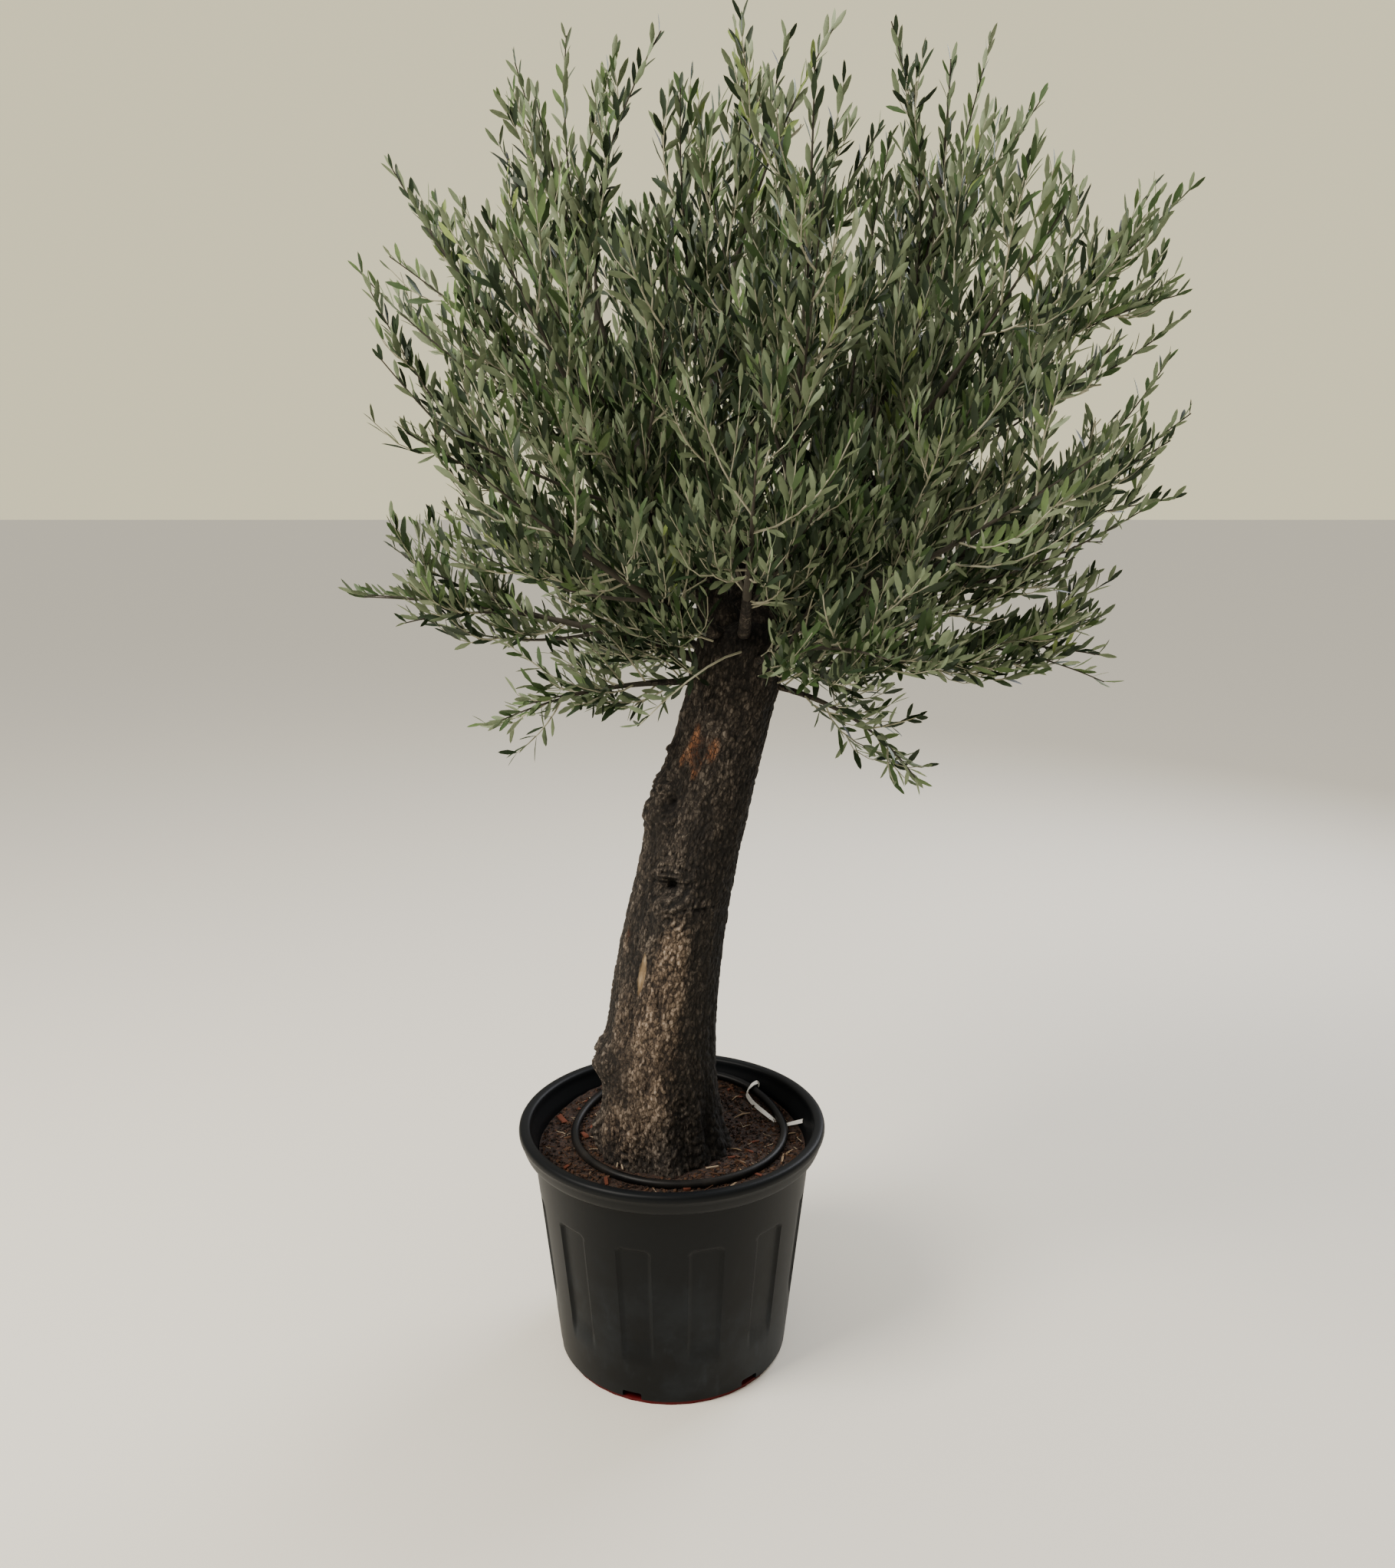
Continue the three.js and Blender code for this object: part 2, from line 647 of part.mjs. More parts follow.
const plate = new THREE.CylinderGeometry(PLATE.radius, PLATE.radius, PLATE.thick, PLATE.sides)
  .rotateX(Math.PI / 2)
  .translate(0, -PLATE.forward, PLATE.thick / 2);
addNode("foot_plate", solidOf(plate), "plate");
addNode("pot", potSolid(), "pot");
addNode("soil", soilSolid(), "soil");
addNode("drip_ring", ringSolid(), "pipe");
addNode("label_strap", strapSolid(), "strap");
addNode("trunk", trunkSolid(), "bark");

const curves = limbCurves();
const fits = makeRoomTest(curves);
const standing = new Map();
LIMBS.forEach((limb, index) => {
  const curve = curves.get(limb.name);
  const girthAt = girthOf(limb);
  const grownGirth = (share) => girthAt(share) + GAP;
  let bough = solidOf(limbGeometry(curve, 0, BOUGH_SHARE, girthAt, BOUGH_SIDES, BOUGH_STEPS));
  bough = bough.subtract(trunkSolid(GAP));
  for (const other of standing.values()) bough = bough.subtract(other);
  addNode("bough_" + limb.name, largestOf(bough), "bough");
  const grown = limbGeometry(curve, 0, BOUGH_SHARE, grownGirth, BOUGH_SIDES, BOUGH_STEPS);
  standing.set(limb.name, solidOf(grown));
  addNode("foliage_" + limb.name, massSolid(limb, index, curve, fits), "leaf");
});

export default tree;
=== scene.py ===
"""A potted olive tree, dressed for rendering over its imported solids.

The trunk and limbs get a bark relief, each mass of foliage grows on by the rule of the solids'
source to its finer twigs and true-size leaves, and the pot, soil, ring and strap get their finish.
Lengths are metres, +Z is up, and -Y is the front.
"""

from __future__ import annotations

import logging
import math
from dataclasses import dataclass, field
from enum import Enum
from typing import Callable

import bpy
import numpy as np
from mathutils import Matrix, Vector, noise

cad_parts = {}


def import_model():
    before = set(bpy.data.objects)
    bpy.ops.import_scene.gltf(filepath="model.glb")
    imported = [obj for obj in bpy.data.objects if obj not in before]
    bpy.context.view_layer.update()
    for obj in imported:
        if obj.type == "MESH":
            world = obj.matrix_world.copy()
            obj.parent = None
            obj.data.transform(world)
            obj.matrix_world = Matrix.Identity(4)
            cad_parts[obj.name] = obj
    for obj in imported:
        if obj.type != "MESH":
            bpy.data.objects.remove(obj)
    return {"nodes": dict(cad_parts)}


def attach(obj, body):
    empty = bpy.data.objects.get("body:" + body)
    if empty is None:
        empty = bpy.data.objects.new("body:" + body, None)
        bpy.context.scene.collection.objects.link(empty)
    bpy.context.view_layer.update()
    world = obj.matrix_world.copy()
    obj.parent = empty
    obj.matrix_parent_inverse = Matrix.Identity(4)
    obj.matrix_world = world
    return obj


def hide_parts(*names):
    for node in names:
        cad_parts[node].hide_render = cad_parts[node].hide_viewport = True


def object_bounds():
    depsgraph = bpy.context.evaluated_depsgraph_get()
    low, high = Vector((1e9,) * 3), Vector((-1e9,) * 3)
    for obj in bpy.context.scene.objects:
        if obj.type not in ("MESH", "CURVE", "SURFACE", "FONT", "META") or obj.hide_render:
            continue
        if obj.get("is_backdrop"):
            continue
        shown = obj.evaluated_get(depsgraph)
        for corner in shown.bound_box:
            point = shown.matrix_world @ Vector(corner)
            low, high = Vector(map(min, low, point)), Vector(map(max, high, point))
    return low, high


LOG = logging.getLogger("olive")
Array = np.ndarray
Tree = bpy.types.NodeTree
Socket = bpy.types.NodeSocket
Material = bpy.types.Material
Piece = bpy.types.Object

UP = np.array([0.0, 0.0, 1.0])
TURN = math.pi * 2
ANY_TURN = 6.28
GOLDEN_TURN = math.pi * (3 - math.sqrt(5))
WORD = 0xFFFFFFFF
NOISE_SEED = 7


class Level(Enum):
    """How fine a shoot is: its radius at the foot and the tip, and its tube's rings and sides."""

    STEM = (0.0042, 0.0011, 16, 7)
    TWIG = (0.0020, 0.0008, 6, 5)
    SPRIG = (0.0011, 0.0007, 4, 4)


# The growth rule that the solids follow


class Draw:
    """The seeded random draw, from 0 to 1, that the solids' source uses."""

    def __init__(self, seed: int) -> None:
        """Starts the draw at a seed."""
        self.state = seed & WORD

    def __call__(self) -> float:
        """Draws the next number.

        Returns:
            The number, from 0 to 1.
        """
        self.state = (self.state + 0x6D2B79F5) & WORD
        mixed = ((self.state ^ (self.state >> 15)) * (self.state | 1)) & WORD
        turned = ((mixed ^ (mixed >> 7)) * (mixed | 61)) & WORD
        mixed ^= (mixed + turned) & WORD
        return ((mixed ^ (mixed >> 14)) & WORD) / (WORD + 1)


def spread_share(index: int) -> float:
    """Gives the share of a length for one of a series that stays evenly spread.

    Args:
        index: the place in the series, from 0.

    Returns:
        1/2, 1/4, 3/4, 1/8 and so on.
    """
    share, half, rest = 0.0, 0.5, index + 1
    while rest > 0:
        share += (rest & 1) * half
        half /= 2
        rest >>= 1
    return share


def unit(vector: Array) -> Array:
    """Scales one vector, or each row of many, to a length of 1."""
    return vector / np.maximum(np.linalg.norm(vector, axis=-1, keepdims=True), 1e-12)


def bearing(heading: float, rise: float = 0.0) -> Array:
    """Gives the way of a heading.

    Args:
        heading: the turn round from +X, in degrees.
        rise: the angle above level, in degrees.

    Returns:
        The unit vector.
    """
    turn, tilt = math.radians(heading), math.radians(rise)
    level = math.cos(tilt)
    return np.array([math.cos(turn) * level, math.sin(turn) * level, math.sin(tilt)])


def sideways(direction: Array, turn: float) -> Array:
    """Gives a way that is square to another.

    Args:
        direction: the other way.
        turn: how far it is turned round that way, in radians.

    Returns:
        The unit vector.
    """
    reference = np.array([1.0, 0, 0]) if abs(direction[2]) > 0.9 else UP
    across = unit(np.cross(direction, reference))
    return across * math.cos(turn) + np.cross(across, direction) * math.sin(turn)


def smoothstep(values: Array, low: float, high: float) -> Array:
    """Eases from 0 at the low end to 1 at the high end."""
    share = np.clip((values - low) / (high - low), 0, 1)
    return share * share * (3 - 2 * share)


@dataclass(frozen=True)
class Curve:
    """A curve bent by one middle point, as limbs and twigs are.

    Attributes:
        start: where it begins.
        middle: the point that it bends towards.
        end: where it ends.
    """

    start: Array
    middle: Array
    end: Array

    def point(self, share: float | Array) -> Array:
        """Gives the point, or a row for each share, along the curve."""
        t = np.asarray(share, float)[..., None]
        return (1 - t) ** 2 * self.start + 2 * t * (1 - t) * self.middle + t**2 * self.end

    def tangent(self, share: float | Array) -> Array:
        """Gives the direction, or a row for each share, along the curve."""
        t = np.asarray(share, float)[..., None]
        return unit((1 - t) * (self.middle - self.start) + t * (self.end - self.middle))

    def length(self) -> float:
        """Measures the curve by six straight stretches."""
        points = self.point(np.linspace(0, 1, 7))
        return float(np.linalg.norm(np.diff(points, axis=0), axis=1).sum())

    def part(self, start: float, end: float) -> Curve:
        """Cuts out a stretch.

        Args:
            start: the share where the stretch begins.
            end: the share where it ends.

        Returns:
            The stretch as a curve of its own.
        """
        a, b = self.point(start), self.point(end)
        lead = (1 - start) * (self.middle - self.start) + start * (self.end - self.middle)
        return Curve(a, a + lead * (end - start), b)

    def offshoot(
        self, share: float, turn: float, degrees: float, light: Array, pull: float
    ) -> tuple[Array, Array, Array]:
        """Works out how a shoot leaves the curve.

        Args:
            share: where it leaves.
            turn: the side that it leaves on, as a turn round the curve in radians.
            degrees: the angle that it leaves at.
            light: the way to the light.
            pull: the share of that way in the shoot's own, from 0 to 1.

        Returns:
            Its start, the way that it leaves and the way to its tip.
        """
        tangent, angle = self.tangent(share), math.radians(degrees)
        first = tangent * math.cos(angle) + sideways(tangent, turn) * math.sin(angle)
        return self.point(share), first, unit(first * (1 - pull) + light * pull)


@dataclass(frozen=True)
class Limb:
    """One limb and the mass of leaves on it.

    Attributes:
        name: the limb's name in the solids.
        heading: the way its tip lies from the head, round from +X, in degrees.
        rise: that way's angle above level, in degrees.
        reach: how far the tip lies from the head.
        spread: how far its twigs reach.
        at: the height where it leaves the trunk, or its share of the limb that carries it.
        girth: its radius there.
        bow: how far its line bows square to the straight, outwards below 0.
        carrier: the limb that carries it, if it isn't the trunk.
        leafy: the share of the usual twigs that its mass has.
        fan: the angle that its side stems leave at, in degrees.
        seed: what its finer twigs are drawn from.
    """

    name: str
    heading: float
    rise: float
    reach: float
    spread: float
    at: float
    girth: float
    bow: float
    carrier: str
    leafy: float
    fan: float
    seed: int


LIMBS = (
    Limb("top_left", 183, 67, 0.900, 0.26, 1.385, 0.033, -0.07, "", 0.55, 34, 23),
    Limb("top_right", 3, 69, 0.960, 0.26, 1.380, 0.041, -0.19, "", 0.55, 20, 20),
    Limb("top_back", 85, 67, 0.870, 0.26, 1.395, 0.030, -0.11, "", 0.55, 34, 21),
    Limb("top_centre", 330, 85, 0.910, 0.23, 0.20, 0.015, 0.04, "top_left", 0.8, 34, 26),
    Limb("top_front", 283, 64, 0.860, 0.26, 0.10, 0.015, -0.08, "top_right", 0.8, 34, 24),
    Limb("upper_right", 2, 42, 0.940, 0.26, 0.24, 0.015, -0.02, "top_right", 0.55, 34, 26),
    Limb("upper_right_back", 48, 45, 0.850, 0.27, 0.10, 0.013, -0.06, "top_back", 0.8, 34, 21),
    Limb("upper_left_back", 127, 47, 0.830, 0.27, 0.18, 0.013, -0.06, "top_back", 0.3, 20, 23),
    Limb("upper_left", 176, 49, 0.870, 0.24, 0.22, 0.014, -0.04, "top_left", 0.3, 20, 22),
    Limb("upper_left_front", 226, 46, 0.790, 0.26, 0.12, 0.014, -0.06, "top_left", 0.55, 34, 21),
    Limb("upper_right_front", 320, 45, 0.830, 0.27, 0.14, 0.014, -0.03, "top_right", 0.55, 34, 20),
    Limb("right", 355, 20, 0.790, 0.24, 1.410, 0.015, -0.05, "", 0.55, 34, 27),
    Limb("right_back", 42, 20, 0.730, 0.25, 1.415, 0.014, -0.04, "", 0.55, 34, 23),
    Limb("back", 98, 23, 0.710, 0.26, 1.395, 0.013, -0.04, "", 0.8, 34, 24),
    Limb("left", 184, 33, 0.750, 0.23, 1.415, 0.015, -0.10, "", 0.3, 20, 23),
    Limb("left_front", 228, 20, 0.660, 0.24, 1.405, 0.014, -0.04, "", 0.3, 34, 22),
    Limb("front", 270, 24, 0.650, 0.25, 1.400, 0.013, -0.04, "", 0.55, 20, 23),
    Limb("right_front", 316, 19, 0.720, 0.25, 1.410, 0.014, -0.04, "", 0.8, 20, 22),
    Limb("low_right", 352, -9, 0.650, 0.18, 1.365, 0.011, 0.07, "", 0.8, 20, 26),
    Limb("low_back", 118, -8, 0.590, 0.20, 1.350, 0.011, 0.05, "", 0.8, 34, 23),
    Limb("low_left", 186, 0, 0.680, 0.18, 1.355, 0.011, 0.06, "", 0.3, 34, 26),
    Limb("low_front", 292, -6, 0.540, 0.20, 1.360, 0.010, 0.06, "", 0.8, 34, 25),
    Limb("hanging_left", 203, -24, 0.500, 0.15, 1.335, 0.008, 0.06, "", 0.25, 20, 23),
    Limb("hanging_right", 335, -43, 0.460, 0.11, 1.345, 0.007, 0.09, "", 0.25, 20, 27),
)
HEAD = np.array([0.130, 0.020, 1.500])
BOUGH_SHARE = 0.32
TIP_GIRTH = 0.0026
HANGING_RISE = -20

# The long shoots at the crown's edge: the limb, the share of it where one leaves, and its tip
LEADERS = (
    ("upper_left", 0.46, -0.479, 0.060, 2.228),
    ("upper_left", 0.40, -0.483, 0.020, 2.076),
    ("left", 0.44, -0.507, -0.024, 2.020),
    ("left", 0.50, -0.440, -0.104, 1.778),
    ("low_left", 0.46, -0.492, -0.011, 1.584),
    ("low_left", 0.42, -0.554, -0.071, 1.506),
    ("low_left", 0.50, -0.452, -0.131, 1.461),
    ("top_left", 0.40, -0.276, 0.032, 2.219),
    ("top_left", 0.52, -0.248, -0.038, 2.366),
    ("top_left", 0.58, -0.169, 0.052, 2.432),
    ("top_left", 0.60, -0.085, 0.002, 2.385),
    ("top_left", 0.55, -0.003, -0.048, 2.410),
    ("top_centre", 0.60, 0.106, -0.020, 2.436),
    ("top_centre", 0.50, 0.285, -0.020, 2.436),
    ("top_right", 0.50, 0.362, -0.012, 2.436),
    ("top_right", 0.56, 0.544, 0.038, 2.436),
    ("top_right", 0.48, 0.618, -0.022, 2.314),
    ("upper_right", 0.44, 0.706, 0.104, 2.245),
    ("upper_right", 0.54, 0.834, 0.044, 2.195),
    ("upper_right", 0.50, 0.885, 0.004, 2.182),
    ("upper_right", 0.42, 0.886, 0.024, 2.012),
    ("right", 0.46, 0.866, -0.005, 1.909),
    ("right", 0.50, 0.899, -0.045, 1.815),
    ("right", 0.44, 0.863, -0.105, 1.670),
    ("right", 0.40, 0.726, -0.165, 1.599),
    ("low_right", 0.50, 0.777, -0.019, 1.463),
    ("low_right", 0.46, 0.775, -0.069, 1.349),
    ("hanging_left", 0.35, -0.260, -0.158, 1.321),
)

# The eye, and the lanes from it that stay free of twigs: x and z at y = 0, and the lane's radius.
# They leave the sky open at the crown's edge, and the last two show the trunk's head.
EYE = np.array([0.050, -2.358, 1.695])
OPENINGS = (
    (-0.344, 2.202, 0.032),
    (-0.314, 2.164, 0.026),
    (-0.487, 2.116, 0.035),
    (-0.453, 2.073, 0.029),
    (-0.405, 2.031, 0.026),
    (-0.509, 1.899, 0.031),
    (-0.481, 1.843, 0.034),
    (-0.440, 1.807, 0.023),
    (0.228, 2.370, 0.029),
    (0.229, 2.306, 0.029),
    (0.235, 2.240, 0.029),
    (0.794, 1.863, 0.035),
    (0.759, 1.833, 0.029),
    (0.896, 1.597, 0.053),
    (0.113, 1.378, 0.048),
    (0.140, 1.425, 0.039),
)


# Meshes from arrays


@dataclass
class Soup:
    """Triangles gathered from many small things, to be joined as one mesh.

    Attributes:
        points: a block of vertices for each thing.
        faces: a block of triangles for each thing, counted from the soup's first vertex.
        slots: the material slot of each triangle, in blocks.
        count: how many vertices there are so far.
    """

    points: list[Array] = field(default_factory=list)
    faces: list[Array] = field(default_factory=list)
    slots: list[Array] = field(default_factory=list)
    count: int = 0

    def add(self, points: Array, faces: Array, slots: Array | int = 0) -> None:
        """Adds one thing.

        Args:
            points: its vertices, a row each.
            faces: its triangles, as rows of vertex numbers.
            slots: the material slot of all its triangles, or one for each.
        """
        self.points.append(points)
        self.faces.append(faces + self.count)
        self.slots.append(np.broadcast_to(slots, len(faces)))
        self.count += len(points)

    def mesh(self, name: str, materials: list[Material], crease: float) -> Piece:
        """Joins what was added into one object.

        Args:
            name: the object's name.
            materials: its material slots.
            crease: the angle in degrees past which an edge stays sharp.

        Returns:
            The new object.
        """
        points = np.concatenate(self.points).astype(np.float32)
        faces = np.concatenate(self.faces).astype(np.int32)
        data = bpy.data.meshes.new(name)
        data.vertices.add(len(points))
        data.vertices.foreach_set("co", points.ravel())
        data.loops.add(faces.size)
        data.loops.foreach_set("vertex_index", faces.ravel())
        data.polygons.add(len(faces))
        data.polygons.foreach_set("loop_start", np.arange(0, faces.size, 3, dtype=np.int32))
        for material in materials:
            data.materials.append(material)
        data.polygons.foreach_set("material_index", np.concatenate(self.slots).astype(np.int32))
        data.update(calc_edges=True)
        data.polygons.foreach_set("use_smooth", np.ones(len(faces), bool))
        data.set_sharp_from_angle(angle=math.radians(crease))
        piece = bpy.data.objects.new(name, data)
        bpy.context.scene.collection.objects.link(piece)
        return piece


def tube(points: Array, radii: Array, sides: int) -> tuple[Array, Array]:
    """Makes a closed tube along a line.

    Args:
        points: the line, a row for each ring.
        radii: the tube's radius at each ring.
        sides: how many sides it has.

    Returns:
        Its vertices and its triangles.
    """
    along = unit(np.gradient(points, axis=0))
    across = unit(np.cross(along, sideways(along[len(along) // 2], 0.0)))
    over = np.cross(along, across)
    turns = np.arange(sides) * TURN / sides
    ring = across[:, None] * np.cos(turns)[:, None] + over[:, None] * np.sin(turns)[:, None]
    shell = points[:, None] + ring * radii[:, None, None]
    vertices = np.concatenate([shell.reshape(-1, 3), points[:1], points[-1:]])
    here = np.arange(sides)
    beside = (here + 1) % sides
    rows = np.arange(len(points) - 1)[:, None] * sides
    a, b = rows + here, rows + beside
    sheet = np.stack([a, b, b + sides, a, b + sides, a + sides], -1).reshape(-1, 3)
    top, centres = (len(points) - 1) * sides, np.full((2, sides), [[len(shell) * sides]])
    foot = np.stack([beside, here, centres[0]], -1)
    tip = np.stack([here + top, beside + top, centres[1] + 1], -1)
    return vertices, np.concatenate([sheet, foot, tip])


def ready_piece(piece: Piece, slot: str, *nodes: str) -> Piece:
    """Ties a finished piece to the frame.

    Args:
        piece: the object.
        slot: not used.
        nodes: the solids that it stands for.

    Returns:
        The same object.
    """
    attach(piece, "root")
    if nodes:
        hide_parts(*nodes)
    LOG.info("%s: %d faces", piece.name, len(piece.data.polygons))
    return piece


def read_places(piece: Piece) -> Array:
    """Reads a piece's vertices.

    Args:
        piece: the object.

    Returns:
        A row for each vertex.
    """
    flat = np.empty(len(piece.data.vertices) * 3)
    piece.data.vertices.foreach_get("co", flat)
    return flat.reshape(-1, 3)


def write_places(piece: Piece, places: Array) -> None:
    """Moves a piece's vertices to new places."""
    piece.data.vertices.foreach_set("co", places.ravel())
    piece.data.update()


def deselect_all() -> None:
    """Leaves object mode with nothing selected."""
    if bpy.context.object and bpy.context.object.mode != "OBJECT":
        bpy.ops.object.mode_set(mode="OBJECT")
    bpy.ops.object.select_all(action="DESELECT")


def add_grid(name: str, columns: int, rows: int) -> Piece:
    """Adds a flat grid from -1 to 1.

    Args:
        name: the object's name.
        columns: how many squares it has along X.
        rows: how many it has along Y.

    Returns:
        The grid.
    """
    deselect_all()
    bpy.ops.mesh.primitive_grid_add(x_subdivisions=columns, y_subdivisions=rows, size=2)
    bpy.context.object.name = name
    return bpy.context.object


def close_mesh() -> None:
    """Fills the holes of the mesh in edit mode, turns its faces outwards and leaves the mode."""
    bpy.ops.mesh.select_all(action="SELECT")
    bpy.ops.mesh.fill_holes(sides=0)
    bpy.ops.mesh.select_all(action="SELECT")
    bpy.ops.mesh.normals_make_consistent(inside=False)
    bpy.ops.object.mode_set(mode="OBJECT")


def lathe(name: str, profile: list[tuple[float, float]], steps: int) -> Piece:
    """Turns a profile round the Z axis by extruding a circle ring after ring.

    Args:
        name: the object's name.
        profile: radius and height of each ring, from the underside to the inside.
        steps: how many vertices a ring has.

    Returns:
        The closed object, with both ends filled.
    """
    deselect_all()
    radius, height = profile[0]
    bpy.ops.mesh.primitive_circle_add(vertices=steps, radius=radius, location=(0, 0, height))
    piece = bpy.context.object
    piece.name = name
    bpy.ops.object.transform_apply(location=True, rotation=True, scale=True)
    bpy.ops.object.mode_set(mode="EDIT")
    bpy.ops.mesh.select_all(action="SELECT")
    for next_radius, next_height in profile[1:]:
        bpy.ops.mesh.extrude_region()
        ratio = next_radius / radius
        bpy.ops.transform.resize(value=(ratio, ratio, 1), center_override=(0, 0, height))
        bpy.ops.transform.translate(value=(0, 0, next_height - height))
        radius, height = next_radius, next_height
    close_mesh()
    return piece


def apply_modifier(piece: Piece, kind: str, **values: object) -> None:
    """Adds a modifier, sets it and applies it.

    Args:
        piece: the object.
        kind: Blender's name of the modifier's type.
        values: the modifier's settings.
    """
    bpy.context.view_layer.objects.active = piece
    modifier = piece.modifiers.new(kind.title(), kind)
    for key, value in values.items():
        setattr(modifier, key, value)
    bpy.ops.object.modifier_apply(modifier=modifier.name)


def finish_piece(piece: Piece, degrees: float, finish: Finish, slot: str, node: str) -> Piece:
    """Shades a piece, gives it its finish and ties it to the frame.

    Args:
        piece: the object.
        degrees: the angle past which an edge stays sharp.
        finish: its finish.
        slot: the name of a slot, passed on to ready_piece.
        node: the solid that it stands for.

    Returns:
        The same object.
    """
    deselect_all()
    piece.select_set(True)
    bpy.context.view_layer.objects.active = piece
    bpy.ops.object.shade_smooth_by_angle(angle=math.radians(degrees))
    piece.data.materials.append(finish.make())
    return ready_piece(piece, slot, node)


# Shader nodes


def rgb(code: str) -> tuple[float, float, float, float]:
    """Turns a colour code into the linear colour that a shader takes.

    Args:
        code: the colour, such as "5f6a48".

    Returns:
        Red, green, blue and alpha.
    """
    parts = [int(code[k : k + 2], 16) / 255 for k in (0, 2, 4)]
    linear = [c / 12.92 if c <= 0.04045 else ((c + 0.055) / 1.055) ** 2.4 for c in parts]
    return linear[0], linear[1], linear[2], 1.0


def feed(tree: Tree, node: bpy.types.Node, inputs: dict[str | int, object]) -> None:
    """Sets or links a node's inputs.

    Args:
        tree: the nodes that it is one of.
        node: the node.
        inputs: a value, or the socket that feeds it, for each input.
    """
    for key, value in inputs.items():
        if isinstance(value, Socket):
            tree.links.new(value, node.inputs[key])
        else:
            node.inputs[key].default_value = value


def add_node(
    tree: Tree, kind: str, inputs: dict[str | int, object], **settings: object
) -> bpy.types.Node:
    """Adds a shader node.

    Args:
        tree: the nodes that it joins.
        kind: its type, without "ShaderNode" before it.
        inputs: a value, or the socket that feeds it, for each input.
        settings: its other settings.

    Returns:
        The node.
    """
    node = tree.nodes.new("ShaderNode" + kind)
    for key, value in settings.items():
        setattr(node, key, value)
    feed(tree, node, inputs)
    return node


def new_group(
    name: str, inputs: dict[str, float], *outputs: str
) -> tuple[Tree, bpy.types.Node, bpy.types.Node]:
    """Starts a shared node group.

    Args:
        name: the group's name.
        inputs: its inputs, with their usual values.
        outputs: the names of its outputs.

    Returns:
        The group, and the nodes of its inputs and its outputs.
    """
    group = bpy.data.node_groups.new(name, "ShaderNodeTree")
    for key, value in inputs.items():
        socket = group.interface.new_socket(key, in_out="INPUT", socket_type="NodeSocketFloat")
        socket.default_value = value
    for key in outputs:
        group.interface.new_socket(key, in_out="OUTPUT", socket_type="NodeSocketFloat")
    return group, group.nodes.new("NodeGroupInput"), group.nodes.new("NodeGroupOutput")


def add_group(
    tree: Tree, name: str, build: Callable[[str], Tree], values: dict[str, float]
) -> bpy.types.Node:
    """Places a shared node group, and builds it the first time.

    Args:
        tree: the nodes that it joins.
        name: the group's name.
        build: the function that builds it.
        values: its inputs in this place.

    Returns:
        The group's node.
    """
    group = bpy.data.node_groups.get(name) or build(name)
    return add_node(tree, "Group", values, node_tree=group)


def maths(tree: Tree, kind: str, *values: Socket | float) -> Socket:
    """Works a value out of others, by the kind of sum that is named."""
    node = add_node(tree, "Math", dict(enumerate(values)), operation=kind)
    return node.outputs["Value"]


def vector_maths(tree: Tree, kind: str, *values: Socket | tuple[float, ...]) -> Socket:
    """Works a vector out of others, by the kind of sum that is named."""
    node = add_node(tree, "VectorMath", dict(enumerate(values)), operation=kind)
    return node.outputs["Vector"]


def total(tree: Tree, parts: list[tuple[Socket, float]]) -> Socket:
    """Adds values up, each by its own share.

    Args:
        tree: the nodes that the sum joins.
        parts: the values and their shares.

    Returns:
        The socket that gives the sum.
    """
    result = 0.0
    for value, share in parts:
        result = maths(tree, "MULTIPLY_ADD", value, share, result)
    return result


def squeezed(tree: Tree, place: Socket, stretch: Socket) -> Socket:
    """Scales places along Z, which stretches a pattern there below 1."""
    scale = add_node(tree, "CombineXYZ", {"X": 1.0, "Y": 1.0, "Z": stretch})
    return vector_maths(tree, "MULTIPLY", place, scale.outputs["Vector"])


def object_place(tree: Tree) -> Socket:
    """Gives the place on the piece that is shaded."""
    return add_node(tree, "TexCoord", {}).outputs["Object"]


def attribute(tree: Tree, name: str) -> Socket:
    """Reads one of the piece's own vertex values."""
    return add_node(tree, "Attribute", {}, attribute_name=name).outputs["Fac"]


def ramp(tree: Tree, value: Socket, stops: tuple[tuple[float, str], ...]) -> Socket:
    """Colours a value.

    Args:
        tree: the nodes that the ramp joins.
        value: the socket that is coloured.
        stops: the place and colour code of each stop.

    Returns:
        The socket that gives the colour.
    """
    node = add_node(tree, "ValToRGB", {"Fac": value})
    elements = node.color_ramp.elements
    while len(elements) < len(stops):
        elements.new(0.5)
    for element, (place, code) in zip(elements, stops):
        element.position = place
        element.color = rgb(code)
    return node.outputs["Color"]


def blend(tree: Tree, share: Socket, below: Socket | str, above: Socket | str) -> Socket:
    """Mixes one colour over another by a mask.

    Args:
        tree: the nodes that the mix joins.
        share: the mask.
        below: the colour, or its code, where the mask is 0.
        above: the colour, or its code, where the mask is 1.

    Returns:
        The socket that gives the mixed colour.
    """
    ends = {k: rgb(c) if isinstance(c, str) else c for k, c in (("A", below), ("B", above))}
    node = add_node(tree, "Mix", {"Factor": share, **ends}, data_type="RGBA")
    return node.outputs["Result"]


def mask(
    tree: Tree, value: Socket, low: Socket | float, high: Socket | float, top: Socket | float = 1.0
) -> Socket:
    """Turns a value into a mask.

    Args:
        tree: the nodes that the mask joins.
        value: the value.
        low: where the mask is 0.
        high: where the mask is full.
        top: how strong it is there.

    Returns:
        The socket that gives the mask.
    """
    ends = {"Value": value, "From Min": low, "From Max": high, "To Max": top}
    return add_node(tree, "MapRange", ends, interpolation_type="SMOOTHSTEP").outputs["Result"]


def bump(tree: Tree, height: Socket, strength: float, depth: float) -> Socket:
    """Gives the normal of a fine relief that has a strength and a depth."""
    node = add_node(tree, "Bump", {"Height": height, "Strength": strength, "Distance": depth})
    return node.outputs["Normal"]


